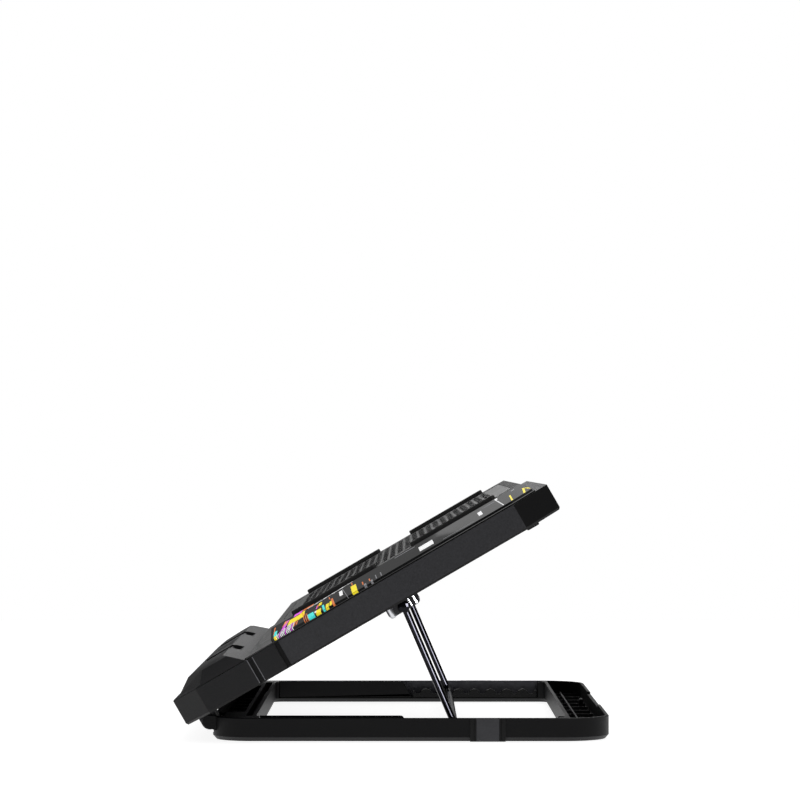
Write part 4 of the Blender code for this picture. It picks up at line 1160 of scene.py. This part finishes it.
def buildBrackets():
    u, v = strutPivot.y, strutPivot.z
    low, high = v + bracket["low"], deck["bottom"] - 0.3
    front, rear = u - bracket["front"], u + bracket["rear"]
    corner = bracket["corner"]
    profile = [(front, high), *arc((front + corner, low + corner), corner, 180, 270, 8),
               *arc((rear - corner, low + corner), corner, 270, 360, 8), (rear, high)]
    legX = strut["legX"]
    block = alongX(profile, legX - bracket["inside"], legX + bracket["outside"])
    for side, sign in sides.items():
        slot = sideSpan(sign, legX - bracket["slotInside"], legX + bracket["slotOutside"])
        bore = rodRings(strut["rod"] + 0.3, *sideSpan(sign, legX, legX + 12), u, v)
        teeth = [(sideSpan(sign, legX + 7, legX + 12), (start, start + 0.7), (low - 1, low + 0.8))
                 for start in (rear - 3.2, rear - 1.8)]
        gap = (slot, (u - bracket["slotFront"], rear + 2), (low - 2, high + 2))
        mesh = cut(loft(onSide(sign, block)), boxes(gap), loft(bore), boxes(*teeth))
        addLitPiece(f"strutBracket.{side}", mesh, deckFrame, "deck", "polishedAbs", "dark_moulding",
                    [f"strut_bracket_{side}"], edge=0.7)
        # two bright chrome ribs stand on the block's outer face as painted highlights for the light stripes
        # on it, and a round-ended stud at its front
        face = legX + bracket["outside"]
        across = sideSpan(sign, face - 0.3, face + 0.35)
        ribs = [(across, (u + start, u + start + width), (low + 0.5, high))
                for start, width in bracket["ribs"]]
        addLitPiece(f"bracketHighlightRibs.{side}", boxes(*ribs), deckFrame, "deck", "satinChromium",
                    "bright_chrome", edge=0.2)
        stud = [drumRings(r, z, z + 1, (sign * (face - 0.8), front + bracket["studBehind"]), 28)[0]
                for r, z in ((1.0, low - 0.5), (1.6, low - 0.2), (1.9, low + 0.4), (1.9, high))]
        addToDeck(f"bracketStud.{side}", loft(stud), "satinChromium", "bright_chrome", smoothAngle=50)


# the cap's turned outline: radius, and distance outwards from the middle of the leg
capSteps = ((1.4, 8.7), (1.4, 9.3), (3.3, 9.3), (3.6, 9.6), (3.6, 10.4), (3.2, 10.8), (1.2, 10.9))


def buildStrut():
    # the wire's centre line, swept by a round section that is mitred at each point
    bend, foot, legX, length = strut["topBend"], strut["footBend"], strut["legX"], strut["length"]
    half = [(legX + 8.4, 0)] + arc((legX + bend, bend), bend, 270, 180, 12)
    half += arc((legX - foot, length - foot), foot, 0, 90, 12)
    line = [Vector((x, y, 0)) for x, y in half + [(-x, y) for x, y in reversed(half)]]
    rings = []
    for i, point in enumerate(line):
        before = (point - line[max(i - 1, 0)]).normalized()
        after = (line[min(i + 1, len(line) - 1)] - point).normalized()
        along = (before + after).normalized()
        across = Vector((-along.y, along.x, 0))
        stretch = 1 / max(across.dot(Vector((-after.y, after.x, 0))) if after.length else 1, 0.9)
        rings.append([tuple(point + across * stretch * wide + Vector((0, 0, high)))
                      for wide, high in circle((0, 0), strut["rod"], 28)])
    addLitPiece("strutFrame", loft(rings), strutFrame, "strut", "blackNickelWire", "strut_steel",
                ["strut_frame"], smoothAngle=50)
    for side, sign in sides.items():
        rings = [rodRings(r, sign * (legX + x), sign * (legX + x), 0, 0)[0] for r, x in capSteps]
        addLitPiece(f"strutCap.{side}", loft(rings), strutFrame, "strut", "blackNickelWire", "strut_steel",
                    [f"strut_cap_{side}"], smoothAngle=50)


buildBrackets()
buildStrut()
print("strut built")


# Stage, light and camera

stage = {"floorSize": 2.6, "floorGap": 0.2, "floorGlow": 0.9, "roomLevel": 0.07, "ceilingLevel": 0.85,
         "backLevel": 0.16}
# each: place, target and size in metres, power in watts
softboxes = {"keySoftbox": ((-0.2, 0.1, 1.7), (0, 0, 0), (1.4, 1.4), 9.0),
             "frontStrip": ((0.9, -1.5, 0.35), (0, -0.05, 0.03), (0.1, 1.0), 0.3),
             "backSoftbox": ((-1.6, -0.1, 0.8), (0, 0.05, 0.1), (0.6, 0.6), 2.6)}
wireSoftbox = ((1.15, 0.44, 0.36), (0, 0.02, 0.05), (0.52, 0.9), 85.0)


def floorFinish():
    # opal acrylic on a light table: near white even in the shade, faintly mottled
    finish, tree, shader, place = newFinish("opalAcrylic")
    mottle = addNode(tree, "ShaderNodeTexNoise", {"Vector": place, "Scale": perMetre(60), "Detail": 2.0})
    shade = addNode(tree, "ShaderNodeMix", {"Factor": mottle.outputs["Fac"], "A": linear("8A8A8A"),
                                            "B": linear("929292")}, data_type="RGBA")
    feed(tree, shader, {"Base Color": shade.outputs["Result"], "Roughness": 0.85,
                        "Emission Color": (1, 1, 1, 1), "Emission Strength": stage["floorGlow"]})
    return finish


def buildStage():
    half = stage["floorSize"] / 2
    bm = bmesh.new()
    corners = ((-half, -half), (half, -half), (half, half), (-half, half))
    bm.faces.new([bm.verts.new((x, y, 0)) for x, y in corners])
    floor = bpy.data.objects.new("floor", finishedMesh(bm))
    floor.location.z = -stage["floorGap"] * mm
    floor.data.materials.append(floorFinish())
    bpy.context.scene.collection.objects.link(floor)


def addSoftbox(name, place, target, size, power):
    light = bpy.data.lights.new(name, "AREA")
    light.shape = "RECTANGLE"
    light.size, light.size_y = size
    light.energy = power
    lamp = bpy.data.objects.new(name, light)
    lamp.location = place
    lamp.rotation_euler = (Vector(target) - Vector(place)).to_track_quat("-Z", "Y").to_euler()
    bpy.context.scene.collection.objects.link(lamp)
    return lamp


def addWireLight():
    # a bright panel that only the bent wire and its brackets mirror, as a thin line down each leg
    lamp = addSoftbox("wireSoftbox", *wireSoftbox)
    lit = bpy.data.collections.new("wireLit")
    for piece in wirePieces:
        lit.objects.link(piece)
    lamp.light_linking.receiver_collection = lit


def buildWorld():
    # a dim room under a bright ceiling, with a bright wall on the pad's left that shows along its top edges
    world = bpy.data.worlds.new("studio")
    bpy.context.scene.world = world
    world.use_nodes = True
    tree = world.node_tree
    tree.nodes.clear()
    direction = addNode(tree, "ShaderNodeTexCoord").outputs["Generated"]
    axes = addNode(tree, "ShaderNodeSeparateXYZ", {"Vector": direction})
    level = addNode(tree, "ShaderNodeMapRange",
                    {"Value": axes.outputs["Z"], "From Min": 0.3, "From Max": 0.8,
                     "To Min": stage["roomLevel"], "To Max": stage["ceilingLevel"]},
                    interpolation_type="SMOOTHSTEP")
    wall = addNode(tree, "ShaderNodeMapRange",
                   {"Value": axes.outputs["X"], "From Min": -0.5, "From Max": -0.9,
                    "To Min": 0.0, "To Max": stage["backLevel"]},
                   interpolation_type="SMOOTHSTEP")
    brightest = addNode(tree, "ShaderNodeMath", {0: level.outputs["Result"], 1: wall.outputs["Result"]},
                        operation="MAXIMUM")
    around = addNode(tree, "ShaderNodeBackground", {"Color": (1, 1, 1, 1), "Strength": brightest.outputs[0]})
    backdrop = addNode(tree, "ShaderNodeBackground", {"Color": (1, 1, 1, 1), "Strength": 1.0})
    seen = addNode(tree, "ShaderNodeLightPath").outputs["Is Camera Ray"]
    mix = addNode(tree, "ShaderNodeMixShader", {0: seen, 1: around.outputs[0], 2: backdrop.outputs[0]})
    addNode(tree, "ShaderNodeOutputWorld", {"Surface": mix.outputs[0]})


# distances in metres, aside and rise in degrees, lens and sensor in mm
camera = {"distance": 2.132, "height": 0.1683, "ahead": 0.1176, "aside": 0.0872, "rise": 1.046,
          "lens": 147.8, "sensor": 36, "nearest": 0.1}


def buildCamera():
    # looks along -X at the pad's right side, from just above it
    data = bpy.data.cameras.new("camera")
    data.lens, data.sensor_width, data.clip_start = camera["lens"], camera["sensor"], camera["nearest"]
    item = bpy.data.objects.new("camera", data)
    item.location = (camera["distance"], hinge.y + camera["ahead"], camera["height"])
    look = Vector((-1, -math.tan(math.radians(camera["aside"])), math.tan(math.radians(camera["rise"]))))
    item.rotation_euler = look.to_track_quat("-Z", "Y").to_euler()
    bpy.context.scene.collection.objects.link(item)
    bpy.context.scene.camera = item


buildStage()
buildWorld()
for softboxName, setting in softboxes.items():
    addSoftbox(softboxName, *setting)
addWireLight()
buildCamera()
bpy.context.scene.view_settings.view_transform = "Standard"
print("stage set")
